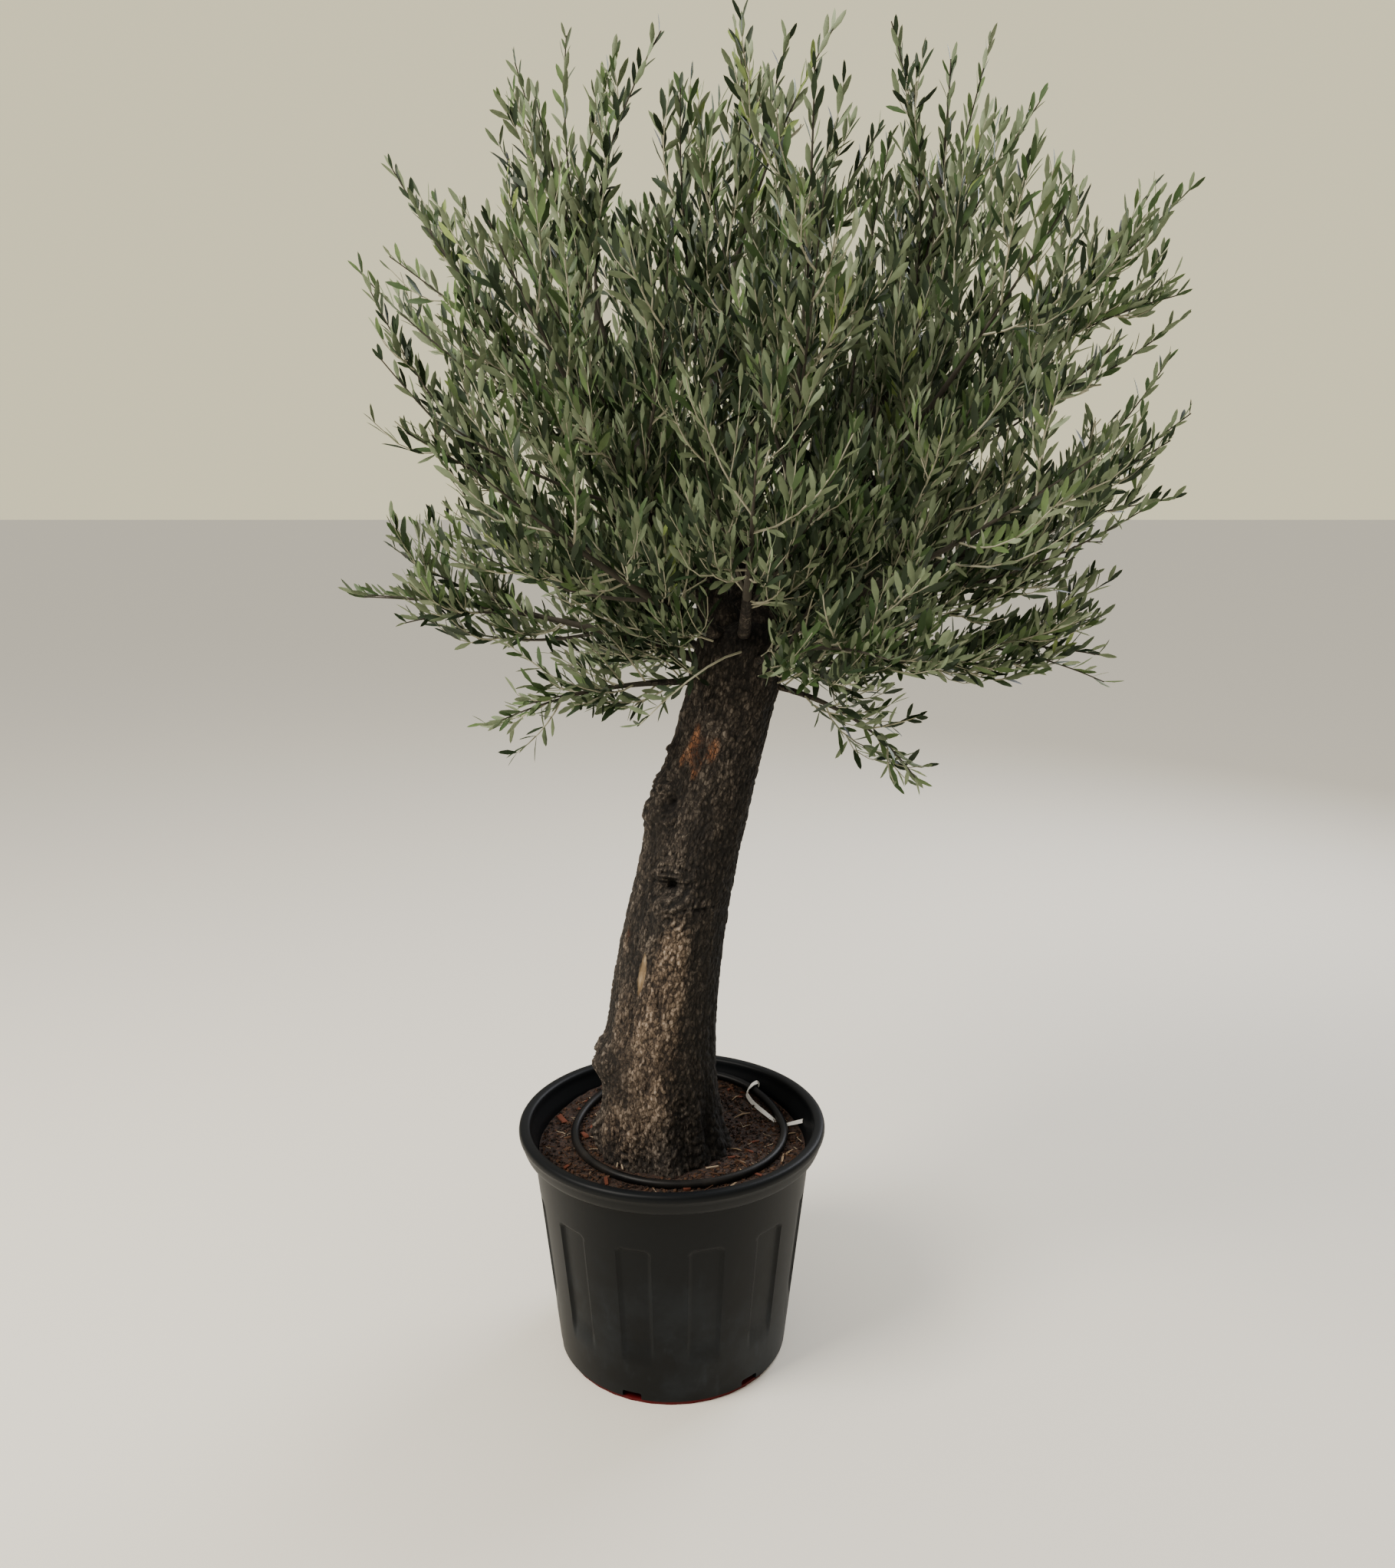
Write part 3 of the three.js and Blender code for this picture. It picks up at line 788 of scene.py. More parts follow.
def build_mottle(name: str) -> Tree:
    """Builds the shared pattern of soft stains and fine grain.

    Args:
        name: the group's name.

    Returns:
        The node group, with the inputs Scale, Stretch and Detail and the outputs Stain and Grain.
    """
    usual = {"Scale": 10.0, "Stretch": 1.0, "Detail": 5.0}
    group, source, sink = new_group(name, usual, "Stain", "Grain")
    place = squeezed(group, object_place(group), source.outputs["Stretch"])
    coarse = source.outputs["Scale"]
    for key, scale in (("Stain", coarse), ("Grain", maths(group, "MULTIPLY", coarse, 9.0))):
        look = {"Vector": place, "Scale": scale, "Roughness": 0.62}
        cloud = add_node(group, "TexNoise", {**look, "Detail": source.outputs["Detail"]})
        feed(group, sink, {key: cloud.outputs["Fac"]})
    return group


def build_flakes(name: str) -> Tree:
    """Builds the shared pattern of small bark flakes.

    Args:
        name: the group's name.

    Returns:
        The node group, with the inputs Scale, Stretch and Warp and the outputs Edge, which is 0 in
        the cracks, and Chip, which differs from flake to flake.
    """
    usual = {"Scale": 150.0, "Stretch": 0.55, "Warp": 0.008}
    group, source, sink = new_group(name, usual, "Edge", "Chip")
    place = object_place(group)
    cloud = add_node(group, "TexNoise", {"Vector": place, "Scale": 55.0, "Detail": 4.0})
    centred = vector_maths(group, "SUBTRACT", cloud.outputs["Color"], (0.5, 0.5, 0.5))
    ends = {0: centred, "Scale": source.outputs["Warp"]}
    warp = add_node(group, "VectorMath", ends, operation="SCALE").outputs["Vector"]
    moved = squeezed(group, vector_maths(group, "ADD", place, warp), source.outputs["Stretch"])
    look = {"Vector": moved, "Scale": source.outputs["Scale"]}
    cracks = add_node(group, "TexVoronoi", look, feature="DISTANCE_TO_EDGE")
    ends = {"Value": cracks.outputs["Distance"], "From Max": 0.16}
    edge = add_node(group, "MapRange", ends).outputs["Result"]
    cells = add_node(group, "TexVoronoi", look, feature="F1")
    chip = add_node(group, "SeparateColor", {"Color": cells.outputs["Color"]}).outputs["Red"]
    feed(group, sink, {"Edge": edge, "Chip": chip})
    return group


def build_dust(name: str) -> Tree:
    """Builds the shared dust, with its stains and scuffs.

    Args:
        name: the group's name.

    Returns:
        The node group, with the inputs Share, which is how much shows where the dust is thickest,
        and Low, the height that it thins out towards, and the output Mask.
    """
    group, source, sink = new_group(name, {"Share": 0.1, "Low": 9.0}, "Mask")
    share, low = source.outputs["Share"], source.outputs["Low"]
    height = add_node(group, "SeparateXYZ", {"Vector": object_place(group)}).outputs["Z"]
    lower = mask(group, height, low, maths(group, "MULTIPLY", low, 0.3))
    stain = mask(group, mottle(group, 7.0).outputs["Stain"], 0.40, 0.70, share)
    slight = maths(group, "MULTIPLY", share, 0.6)
    scuff = mask(group, mottle(group, 26.0, 0.5).outputs["Stain"], 0.56, 0.72, slight)
    spread = total(group, [(stain, 1.0), (scuff, 1.0)])
    feed(group, sink, {"Mask": maths(group, "MULTIPLY", spread, lower)})
    return group


def mottle(tree: Tree, scale: float, stretch: float = 1.0) -> bpy.types.Node:
    """Places the shared stain pattern, at its own scale and stretch."""
    return add_group(tree, "mottle", build_mottle, {"Scale": scale, "Stretch": stretch})


# Finishes


@dataclass(frozen=True)
class Finish:
    """What every finish has.

    Attributes:
        name: the material's name.
    """

    name: str

    def look(self, tree: Tree) -> dict[str | int, object]:
        """Works out the inputs of the Principled shader, which each kind of finish does."""
        raise NotImplementedError

    def make(self) -> Material:
        """Makes the material.

        Returns:
            The material.
        """
        material = bpy.data.materials.new(self.name)
        material.use_nodes = True
        tree = material.node_tree
        feed(tree, tree.nodes["Principled BSDF"], self.look(tree))
        return material


@dataclass(frozen=True)
class PlainFinish(Finish):
    """A finish of one colour, a little darker and glossier in places.

    Attributes:
        colour: its colour code.
        roughness: how matt it is.
        scale: how many dark places there are along a metre, about.
        shade: how much darker they are.
        shine: how strongly it mirrors the light.
    """

    colour: str
    roughness: float
    scale: float = 60.0
    shade: float = 0.22
    shine: float = 0.3

    def look(self, tree: Tree) -> dict[str | int, object]:
        """Works out the inputs of the Principled shader.

        Args:
            tree: the material's nodes.

        Returns:
            A value or a socket for each input.
        """
        pattern = mottle(tree, self.scale)
        darker = mask(tree, pattern.outputs["Stain"], 0.35, 0.70, self.shade)
        ends = {"To Min": self.roughness - 0.12, "To Max": min(1.0, self.roughness + 0.12)}
        matt = add_node(tree, "MapRange", {"Value": pattern.outputs["Grain"], **ends})
        return {
            "Base Color": blend(tree, darker, self.colour, "15140f"),
            "Roughness": matt.outputs["Result"],
            "Specular IOR Level": self.shine,
        }


@dataclass(frozen=True)
class MouldedPlastic(Finish):
    """Moulded plastic with dust on it.

    Attributes:
        colour: the plastic's colour code.
        dust: the dust's colour code.
        share: how much dust shows where it is thickest.
        roughness: how matt it is.
        low: the height that the dust thins out towards.
    """

    colour: str
    dust: str
    share: float
    roughness: float
    low: float = 9.0

    def look(self, tree: Tree) -> dict[str | int, object]:
        """Works out the inputs of the Principled shader.

        Args:
            tree: the material's nodes.

        Returns:
            A value or a socket for each input.
        """
        dust = add_group(tree, "dust", build_dust, {"Share": self.share, "Low": self.low})
        return {
            "Base Color": blend(tree, dust.outputs["Mask"], self.colour, self.dust),
            "Roughness": self.roughness,
            "Specular IOR Level": 0.15,
            "Normal": bump(tree, mottle(tree, 7.0).outputs["Grain"], 0.12, 0.0006),
        }


@dataclass(frozen=True)
class Bark(Finish):
    """Old olive bark, coloured by its relief, darker in the furrows and paler on the plates' tops,
    partly as painted shade and painted highlight, and by where it is paler, partly by painted
    light, bare, stained, or darkened by painted shade.
    """

    scale: float = 180.0
    depth: float = 0.0032
    # Both ramps follow the relief: near black in the furrows, partly the bark's own dark and partly
    # painted shade, and pale on the plates' tops, partly the bark's own grey and partly painted
    # highlight.
    dark: tuple[tuple[float, str], ...] = (
        (0.28, "070605"),
        (0.46, "1d1915"),
        (0.60, "3c352e"),
        (0.74, "6a6157"),
        (0.90, "a39a8e"),
    )
    pale_and_lit: tuple[tuple[float, str], ...] = (
        (0.30, "110d0a"),
        (0.46, "3a3028"),
        (0.58, "675849"),
        (0.72, "998979"),
        (0.88, "cdc1b2"),
    )
    streaks: tuple[tuple[float, str], ...] = (
        (0.38, "16100d"),
        (0.48, "4a2f20"),
        (0.58, "8c5f42"),
        (0.72, "b8977c"),
    )
    wood: tuple[tuple[float, str], ...] = ((0.32, "4a3826"), (0.5, "7d6a50"), (0.66, "a8957a"))

    def look(self, tree: Tree) -> dict[str | int, object]:
        """Works out the inputs of the Principled shader.

        Args:
            tree: the material's nodes.

        Returns:
            A value or a socket for each input.
        """
        flakes = add_group(tree, "bark_flakes", build_flakes, {"Scale": self.scale})
        edge, chip = flakes.outputs["Edge"], mask(tree, flakes.outputs["Chip"], 0.1, 1.0)
        coarse, fine = mottle(tree, 8.0, 0.4).outputs, mottle(tree, 42.0, 0.4).outputs
        parts = [(attribute(tree, "relief"), 0.54), (chip, 0.14), (edge, 0.12)]
        height = total(tree, [*parts, (fine["Grain"], 0.26)])
        rusty = maths(tree, "MULTIPLY", attribute(tree, "rust"), edge)
        # Partly painted shade in the furrows and painted highlight on the plates' tops.
        colour = ramp(tree, height, self.dark)
        for share, above in (
            # Paler where tan is, partly painted light.
            (attribute(tree, "tan"), ramp(tree, height, self.pale_and_lit)),
            (mask(tree, coarse["Stain"], 0.46, 0.66, 0.6), "15110e"),
            (rusty, ramp(tree, fine["Stain"], self.streaks)),
            (attribute(tree, "bare"), ramp(tree, fine["Stain"], self.wood)),
            # Near-black painted shade, on the right side partly the bark's own dark.
            (attribute(tree, "black"), "0b0a09"),
        ):
            colour = blend(tree, share, colour, above)
        return {
            "Base Color": colour,
            "Roughness": 0.86,
            "Specular IOR Level": 0.3,
            "Normal": bump(tree, height, 1.0, self.depth),
        }


@dataclass(frozen=True)
class SoilFinish(Finish):
    """Dark potting mix, damp in places.

    Attributes:
        stops: its colour's stops, from the hollows, darker partly as painted shade, to the crumbs.
    """

    stops: tuple[tuple[float, str], ...] = (
        (0.3, "120b07"),
        (0.5, "2c1d13"),
        (0.64, "4a2f1f"),
        (0.78, "74563f"),
    )

    def look(self, tree: Tree) -> dict[str | int, object]:
        """Works out the inputs of the Principled shader.

        Args:
            tree: the material's nodes.

        Returns:
            A value or a socket for each input.
        """
        pattern = mottle(tree, 22.0).outputs
        damp = mask(tree, pattern["Stain"], 0.45, 0.62, 0.55)
        return {
            # The grain that raises the bump also darkens its hollows, partly the mix's own dark and
            # partly painted shade.
            "Base Color": blend(tree, damp, ramp(tree, pattern["Grain"], self.stops), "1a100a"),
            "Roughness": 0.95,
            "Normal": bump(tree, pattern["Grain"], 1.0, 0.004),
        }


# The trunk and limbs


@dataclass(frozen=True)
class Burl:
    """A swelling of the trunk, a hollow where out is below 0, or a stain or painted shade on it.

    Attributes:
        height: its middle's height.
        heading: the way it faces, round from +X, in degrees.
        out: how far it stands out, or how strong the stain or the painted shade is.
        tall: half its height.
        wide: half its width, in radians.
    """

    height: float
    heading: float
    out: float
    tall: float
    wide: float

    def away(self, heights: Array, turns: Array) -> tuple[Array, Array]:
        """Tells how far places are from its middle.

        Args:
            heights: heights on the trunk.
            turns: turns round it from +X, in radians.

        Returns:
            How far up and how far round each is, in halves of its size.
        """
        turned = turns - math.radians(self.heading)
        around = np.arctan2(np.sin(turned), np.cos(turned)) / self.wide
        return (heights - self.height) / self.tall, around

    def share(self, heights: Array, turns: Array) -> Array:
        """Tells how much of the swelling there is at some heights and turns, from 0 to 1."""
        up, around = self.away(heights, turns)
        return np.exp(-(up**2) - around**2)

    def pointed(self, heights: Array, turns: Array) -> Array:
        """Tells how much of a crisp spot with pointed ends there is, from 0 to 1."""
        up, around = self.away(heights, turns)
        return smoothstep(1 - np.abs(around) - up**2, 0, 0.3)


@dataclass
class Trunk:
    """The leaning trunk, from the soil to the head of the crown."""

    foot: float = 0.420
    top: float = 1.452
    butt: float = 0.117
    neck: float = 0.083
    taper: float = 1.5
    drift: tuple[float, ...] = (-0.019, -0.111, 0.478, -0.203)
    back: float = 0.025
    flare: float = 0.012
    flare_tall: float = 0.060
    head: float = 0.007
    dome: float = 0.040
    rounds: int = 290
    rings: int = 330
    bark: float = 0.0125
    level: float = 0.60
    burls: tuple[Burl, ...] = (
        Burl(0.612, 192, 0.025, 0.036, 0.42),
        Burl(0.462, 188, 0.017, 0.026, 0.30),
        Burl(1.118, 196, 0.015, 0.062, 0.50),
        Burl(1.286, 205, 0.010, 0.020, 0.26),
        Burl(0.962, 262, -0.011, 0.026, 0.26),
        Burl(0.925, 262, 0.009, 0.070, 0.50),
        Burl(0.980, 60, 0.014, 0.070, 0.50),
        Burl(0.560, 95, 0.016, 0.060, 0.45),
    )
    knots: tuple[Burl, ...] = (
        Burl(0.976, 250, -0.012, 0.030, 0.34),
        Burl(0.978, 249, -0.017, 0.020, 0.22),
        Burl(0.990, 249, 0.008, 0.010, 0.42),
        Burl(1.001, 247, 0.008, 0.011, 0.40),
        Burl(0.944, 254, 0.008, 0.013, 0.34),
        Burl(0.915, 258, -0.006, 0.013, 0.20),
        Burl(1.126, 223, -0.015, 0.013, 0.12),
        Burl(1.104, 192, 0.008, 0.022, 0.40),
        Burl(1.160, 190, 0.005, 0.016, 0.30),
        Burl(1.150, 212, 0.005, 0.012, 0.24),
        Burl(1.098, 226, 0.005, 0.012, 0.20),
        Burl(1.221, 194, 0.010, 0.010, 0.10),
        Burl(1.305, 246, 0.006, 0.020, 0.20),
        Burl(0.488, 191, 0.007, 0.017, 0.16),
        Burl(0.640, 184, 0.007, 0.012, 0.26),
        Burl(0.473, 233, 0.007, 0.020, 0.11),
        Burl(0.549, 295, -0.005, 0.013, 0.14),
        Burl(0.936, 292, -0.005, 0.003, 0.26),
        Burl(0.622, 187, -0.008, 0.008, 0.12),
        Burl(0.870, 60, -0.009, 0.018, 0.16),
        Burl(1.190, 110, 0.012, 0.022, 0.18),
        Burl(0.720, 130, 0.009, 0.026, 0.22),
    )
    # Paler bark, mostly on the front and the left where the key light falls: partly the bark's own
    # pale tone, partly painted light.
    tan: tuple[Burl, ...] = (
        Burl(0.835, 270, 0.9, 0.085, 0.30),
        Burl(0.720, 268, 0.9, 0.110, 0.40),
        Burl(0.590, 262, 0.7, 0.110, 0.52),
        Burl(0.490, 226, 0.8, 0.060, 0.50),
        Burl(0.700, 222, 0.45, 0.120, 0.40),
        Burl(0.860, 203, 0.5, 0.030, 0.16),
        Burl(0.640, 120, 0.6, 0.160, 0.45),
    )
    rust: tuple[Burl, ...] = (
        Burl(1.250, 233, 0.9, 0.024, 0.09),
        Burl(1.226, 240, 1.0, 0.026, 0.24),
        Burl(1.228, 262, 0.9, 0.020, 0.12),
        Burl(1.200, 246, 0.9, 0.026, 0.09),
        Burl(1.206, 222, 0.7, 0.016, 0.07),
        Burl(0.872, 203, 1.0, 0.010, 0.07),
    )
    bare: Burl = Burl(0.805, 238, 1.0, 0.047, 0.100)
    # Painted shade as near-black patches: on the trunk's right side, partly the bark's own dark, in
    # the big hollow, in the small hollow and the crack, and on the front of the trunk's head under
    # the crown.
    black: tuple[Burl, ...] = (
        Burl(0.70, 338, 0.85, 1.20, 0.60),
        Burl(0.978, 250, 0.95, 0.022, 0.26),
        Burl(1.126, 223, 0.9, 0.011, 0.10),
        Burl(0.936, 292, 0.9, 0.003, 0.24),
        Burl(1.46, 262, 0.8, 0.09, 1.6),
    )

    def middle(self, heights: Array | float) -> Array:
        """Gives the trunk's middle.

        Args:
            heights: heights on the trunk.

        Returns:
            The middle at each.
        """
        heights = np.asarray(heights, float)
        share = (heights - self.foot) / (self.top - self.foot)
        at, slope, bend, ease = self.drift
        x = at + slope * share + bend * share**2 + ease * share**3
        return np.stack([x, -0.005 + self.back * share**2, heights], -1)

    def radius(self, heights: Array, turns: Array) -> Array:
        """Gives the trunk's smooth radius, as the solid has it.

        Args:
            heights: heights on the trunk.
            turns: turns round it from +X, in radians.

        Returns:
            The radius at each.
        """
        share = (heights - self.foot) / (self.top - self.foot)
        radius = self.neck + (self.butt - self.neck) * np.clip(1 - share, 0, 1) ** self.taper
        radius = radius + self.head * smoothstep(share, 0.82, 1)
        lobes = 0.03 * np.cos(2 * turns + 0.8 + 1.5 * share) + 0.022 * np.cos(3 * turns - 5 * share)
        radius = radius * (1 + lobes + 0.012 * np.cos(5 * turns + 4 * share))
        roots = 0.65 + 0.35 * np.cos(5 * turns + 0.6)
        rise = (heights - self.foot) / self.flare_tall
        radius = radius + self.flare * roots * np.exp(-(rise**2))
        for burl in self.burls:
            radius = radius + burl.out * burl.share(heights, turns)
        dome = np.clip((heights - self.top + self.dome) / self.dome, 0, 1)
        return radius * np.sqrt(1 - 0.75 * dome**2)

    @staticmethod
    def bark_height(place: Vector) -> float:
        """Works out the bark's plates, flakes and furrows at a place on an even cylinder.

        Args:
            place: the place.

        Returns:
            The relief, from 0 in the furrows to about 1 on the plates.
        """
        bend = noise.noise_vector(place * 16) * 0.010 + noise.noise_vector(place * 60) * 0.0035
        x, y, z = place + bend
        near, points = noise.voronoi(Vector((x, y, z * 0.40)) * 118)
        flake = min(1.0, (near[1] - near[0]) * 3.4)
        chip = noise.noise(points[0] * 7.3) * 0.5 + 0.5
        ridge = Vector((x, y, z * 0.22)) * 26
        furrow = noise.ridged_multi_fractal(ridge, 1.0, 2.2, 3, 0.9, 2.0) / 2.4
        fibre = noise.noise(Vector((x, y, z * 0.3)) * 210) * 0.5 + 0.5
        return 0.22 * flake + 0.20 * chip + 0.50 * furrow + 0.16 * fibre

    def relief(self, heights: Array, turns: Array) -> Array:
        """Works out the bark's relief, with its ridges drawn round each knot.

        Args:
            heights: heights on the trunk.
            turns: turns round it from +X, in radians.

        Returns:
            The relief at each, from 0 to 1.2.
        """
        rows = zip(np.cos(turns) * 0.1, np.sin(turns) * 0.1, heights)
        values = np.array([self.bark_height(Vector(row)) for row in rows])
        for knot in self.knots:
            near = knot.share(heights, turns)
            away = np.sqrt(-np.log(np.maximum(near, 1e-9)))
            rings = np.cos(away * 7.5 + values * 2.5)
            values = values + 0.16 * rings * np.exp(-((away / 1.9) ** 2))
        return np.clip(values, 0, 1.2)

    def build(self) -> Piece:
        """Rolls a fine grid round the trunk's line and presses the bark into it.

        Returns:
            The bark, as a closed piece.
        """
        piece = add_grid("trunk_bark", self.rounds, self.rings)
        flat = read_places(piece)
        steps = np.round((flat[:, 0] + 1) / 2 * self.rounds).astype(int) % self.rounds
        turns = steps * TURN / self.rounds
        heights = self.foot + (self.top - self.foot) * (flat[:, 1] + 1) / 2
        relief = self.relief(heights, turns)
        radii = self.radius(heights, turns)
        for knot in self.knots:
            radii = radii + knot.out * knot.share(heights, turns)
        near_foot = np.exp(-(((heights - self.foot) / 0.10) ** 2))
        radii = radii + near_foot * 0.004 * np.cos(13 * turns + 2 * np.sin(2 * turns))
        bare = np.clip(self.bare.pointed(heights, turns), 0, 1)
        depth = self.bark * (1 + 0.35 * near_foot) * (1 - 0.85 * bare)
        radii = radii + (relief - self.level) * depth - 0.0045 * bare
        out = np.stack([np.cos(turns), np.sin(turns), np.zeros(len(turns))], -1)
        write_places(piece, self.middle(heights) + out * radii[:, None])
        note(piece, "relief", np.clip(relief, 0, 1))
        note(piece, "bare", bare)
        # tan is paler bark, partly painted light; black is painted shade, on the right side partly
        # the bark's own dark.
        for name, spots in (("tan", self.tan), ("rust", self.rust), ("black", self.black)):
            spread = sum(spot.out * spot.share(heights, turns) for spot in spots)
            ragged = smoothstep(spread * (0.5 + 0.8 * relief), 0.12, 0.72)
            note(piece, name, np.clip(spread if name == "black" else ragged, 0, 1))
        bpy.ops.object.mode_set(mode="EDIT")
        bpy.ops.mesh.select_all(action="SELECT")
        bpy.ops.mesh.remove_doubles(threshold=1e-6)
        close_mesh()
        return finish_piece(piece, 70, Bark("old_bark"), "bark", "trunk")


def note(piece: Piece, name: str, values: Array) -> None:
    """Keeps a value for each vertex, for the bark's shader to read."""
    layer = piece.data.attributes.new(name, "FLOAT", "POINT")
    layer.data.foreach_set("value", np.asarray(values, np.float32))


@dataclass
class Boughs:
    """The main limbs, from inside the trunk to their masses of leaves."""

    trunk: Trunk
    sides: int = 26
    slim_sides: int = 14
    slim: float = 0.02
    ring_gap: float = 0.0065
    curves: dict[str, Curve] = field(default_factory=dict)

    def __post_init__(self) -> None:
        """Works out each limb's whole line."""
        for limb in LIMBS:
            tip = HEAD + bearing(limb.heading, limb.rise) * limb.reach
            carrier = self.curves.get(limb.carrier)
            root = carrier.point(limb.at) if carrier else self.trunk.middle(limb.at)
            middle = (root + tip) / 2 + bearing(limb.heading, limb.rise + 90) * limb.bow
            self.curves[limb.name] = Curve(root, middle, tip)

    @staticmethod
    def girth(limb: Limb, share: Array | float) -> Array:
        """Gives a limb's radius at shares of its line."""
        return TIP_GIRTH + (limb.girth - TIP_GIRTH) * (1 - np.asarray(share, float)) ** 1.25

    @staticmethod
    def roughness(place: Vector) -> float:
        """Gives the bark's relief on a limb.

        Args:
            place: the place.

        Returns:
            The relief there, from 0 to 1.
        """
        near, points = noise.voronoi((place + noise.noise_vector(place * 40) * 0.005) * 110)
        chip = noise.noise(points[0] * 7.3) * 0.5 + 0.5
        ridge = noise.noise(place * 170) * 0.5 + 0.5
        swell = noise.noise(place * 16) * 0.5 + 0.5
        return 0.25 * min(1.0, (near[1] - near[0]) * 3) + 0.3 * chip + 0.25 * ridge + 0.25 * swell

    def build(self) -> Piece:
        """Makes the limbs as tubes with bark relief and joins them.

        Returns:
            The joined piece.
        """
        soup, notes = Soup(), []
        end = BOUGH_SHARE + 0.03
        for limb in LIMBS:
            curve = self.curves[limb.name]
            shares = np.linspace(0, end, max(12, int(curve.length() * end / self.ring_gap)))
            sides = self.sides if limb.girth > self.slim else self.slim_sides
            girths = self.girth(limb, shares)
            collar = 1 + 0.30 * (1 - smoothstep(shares, 0.03, 0.15))
            vertices, faces = tube(curve.point(shares), girths * collar, sides)
            middles = np.concatenate([np.repeat(curve.point(shares), sides, axis=0), vertices[-2:]])
            relief = np.array([self.roughness(Vector(place)) for place in vertices])
            girths = np.concatenate([np.repeat(girths, sides), [0, 0]])
            push = (relief - 0.6) * (0.10 * girths + 0.0018)
            soup.add(vertices + unit(vertices - middles) * push[:, None], faces)
            notes.append(relief)
        piece = soup.mesh("bough_bark", [Bark("bough_bark").make()], 60)
        note(piece, "relief", np.clip(np.concatenate(notes) * 0.8, 0, 1))
        return ready_piece(piece, "bough", *("bough_" + limb.name for limb in LIMBS))


# The crown


@dataclass(frozen=True)
class Shoot:
    """A stem, twig or sprig that carries leaves.

    Attributes:
        curve: its line.
        girth: its radius at the foot.
        tip: its radius at the tip.
        level: how fine it is.
        first: the share of its line where its leaves begin.
        kept: the share of its line that is grown.
    """

    curve: Curve
    girth: float
    tip: float
    level: Level
    first: float
    kept: float = 1.0


@dataclass(frozen=True)
class LeafShape:
    """An olive leaf: a slim lens, green above and silvery below.

    Attributes:
        long: its usual length.
        wide: its width as a share of its length.
        thick: its thickness as a share of its length.
        fold: how far its edges stand above its midrib, as a share of its length.
        droop: how far its tip bends down, as a share of its length.
        stations: the places along it where its width is given, with each width's share.
    """

    long: float = 0.0430
    wide: float = 0.240
    thick: float = 0.014
    fold: float = 0.026
    droop: float = 0.06
    stations: tuple[tuple[float, float], ...] = ((0.15, 0.46), (0.52, 1.0), (0.86, 0.60))

    def points(self) -> Array:
        """Makes the vertices of a leaf of length 1, along +X with its upper side to +Z.

        Returns:
            The foot, the tip, and the left, top, right and under place at each station.
        """
        rows = [(0.0, 0.0, 0.0), (1.0, 0.0, -self.droop)]
        for along, share in self.stations:
            sag = -self.droop * along**2
            half, edge = self.wide / 2 * share, sag + self.fold * share
            rows += [(along, half, edge), (along, 0, sag + self.thick / 2)]
            rows += [(along, -half, edge), (along, 0, sag - self.thick / 2)]
        return np.array(rows)

    def faces(self) -> tuple[Array, Array]:
        """Makes the triangles of a leaf.

        Returns:
            The triangles, and for each whether it is on the underside.
        """
        upper, under = [], []
        last = 4 * len(self.stations) - 4
        for k in range(2, 2 + last, 4):
            left, top, right, below, left2, top2, right2, below2 = range(k, k + 8)
            upper += [(top, top2, left2), (top, left2, left)]
            upper += [(right, right2, top2), (right, top2, top)]
            under += [(left, left2, below2), (left, below2, below)]
            under += [(below, below2, right2), (below, right2, right)]
        left, top, right, below = range(2, 6)
        upper += [(0, top, left), (0, right, top)]
        under += [(0, left, below), (0, below, right)]
        left, top, right, below = range(2 + last, 6 + last)
        upper += [(1, left, top), (1, top, right)]
        under += [(1, below, left), (1, right, below)]
        return np.array(upper + under), np.arange(len(upper + under)) >= len(upper)


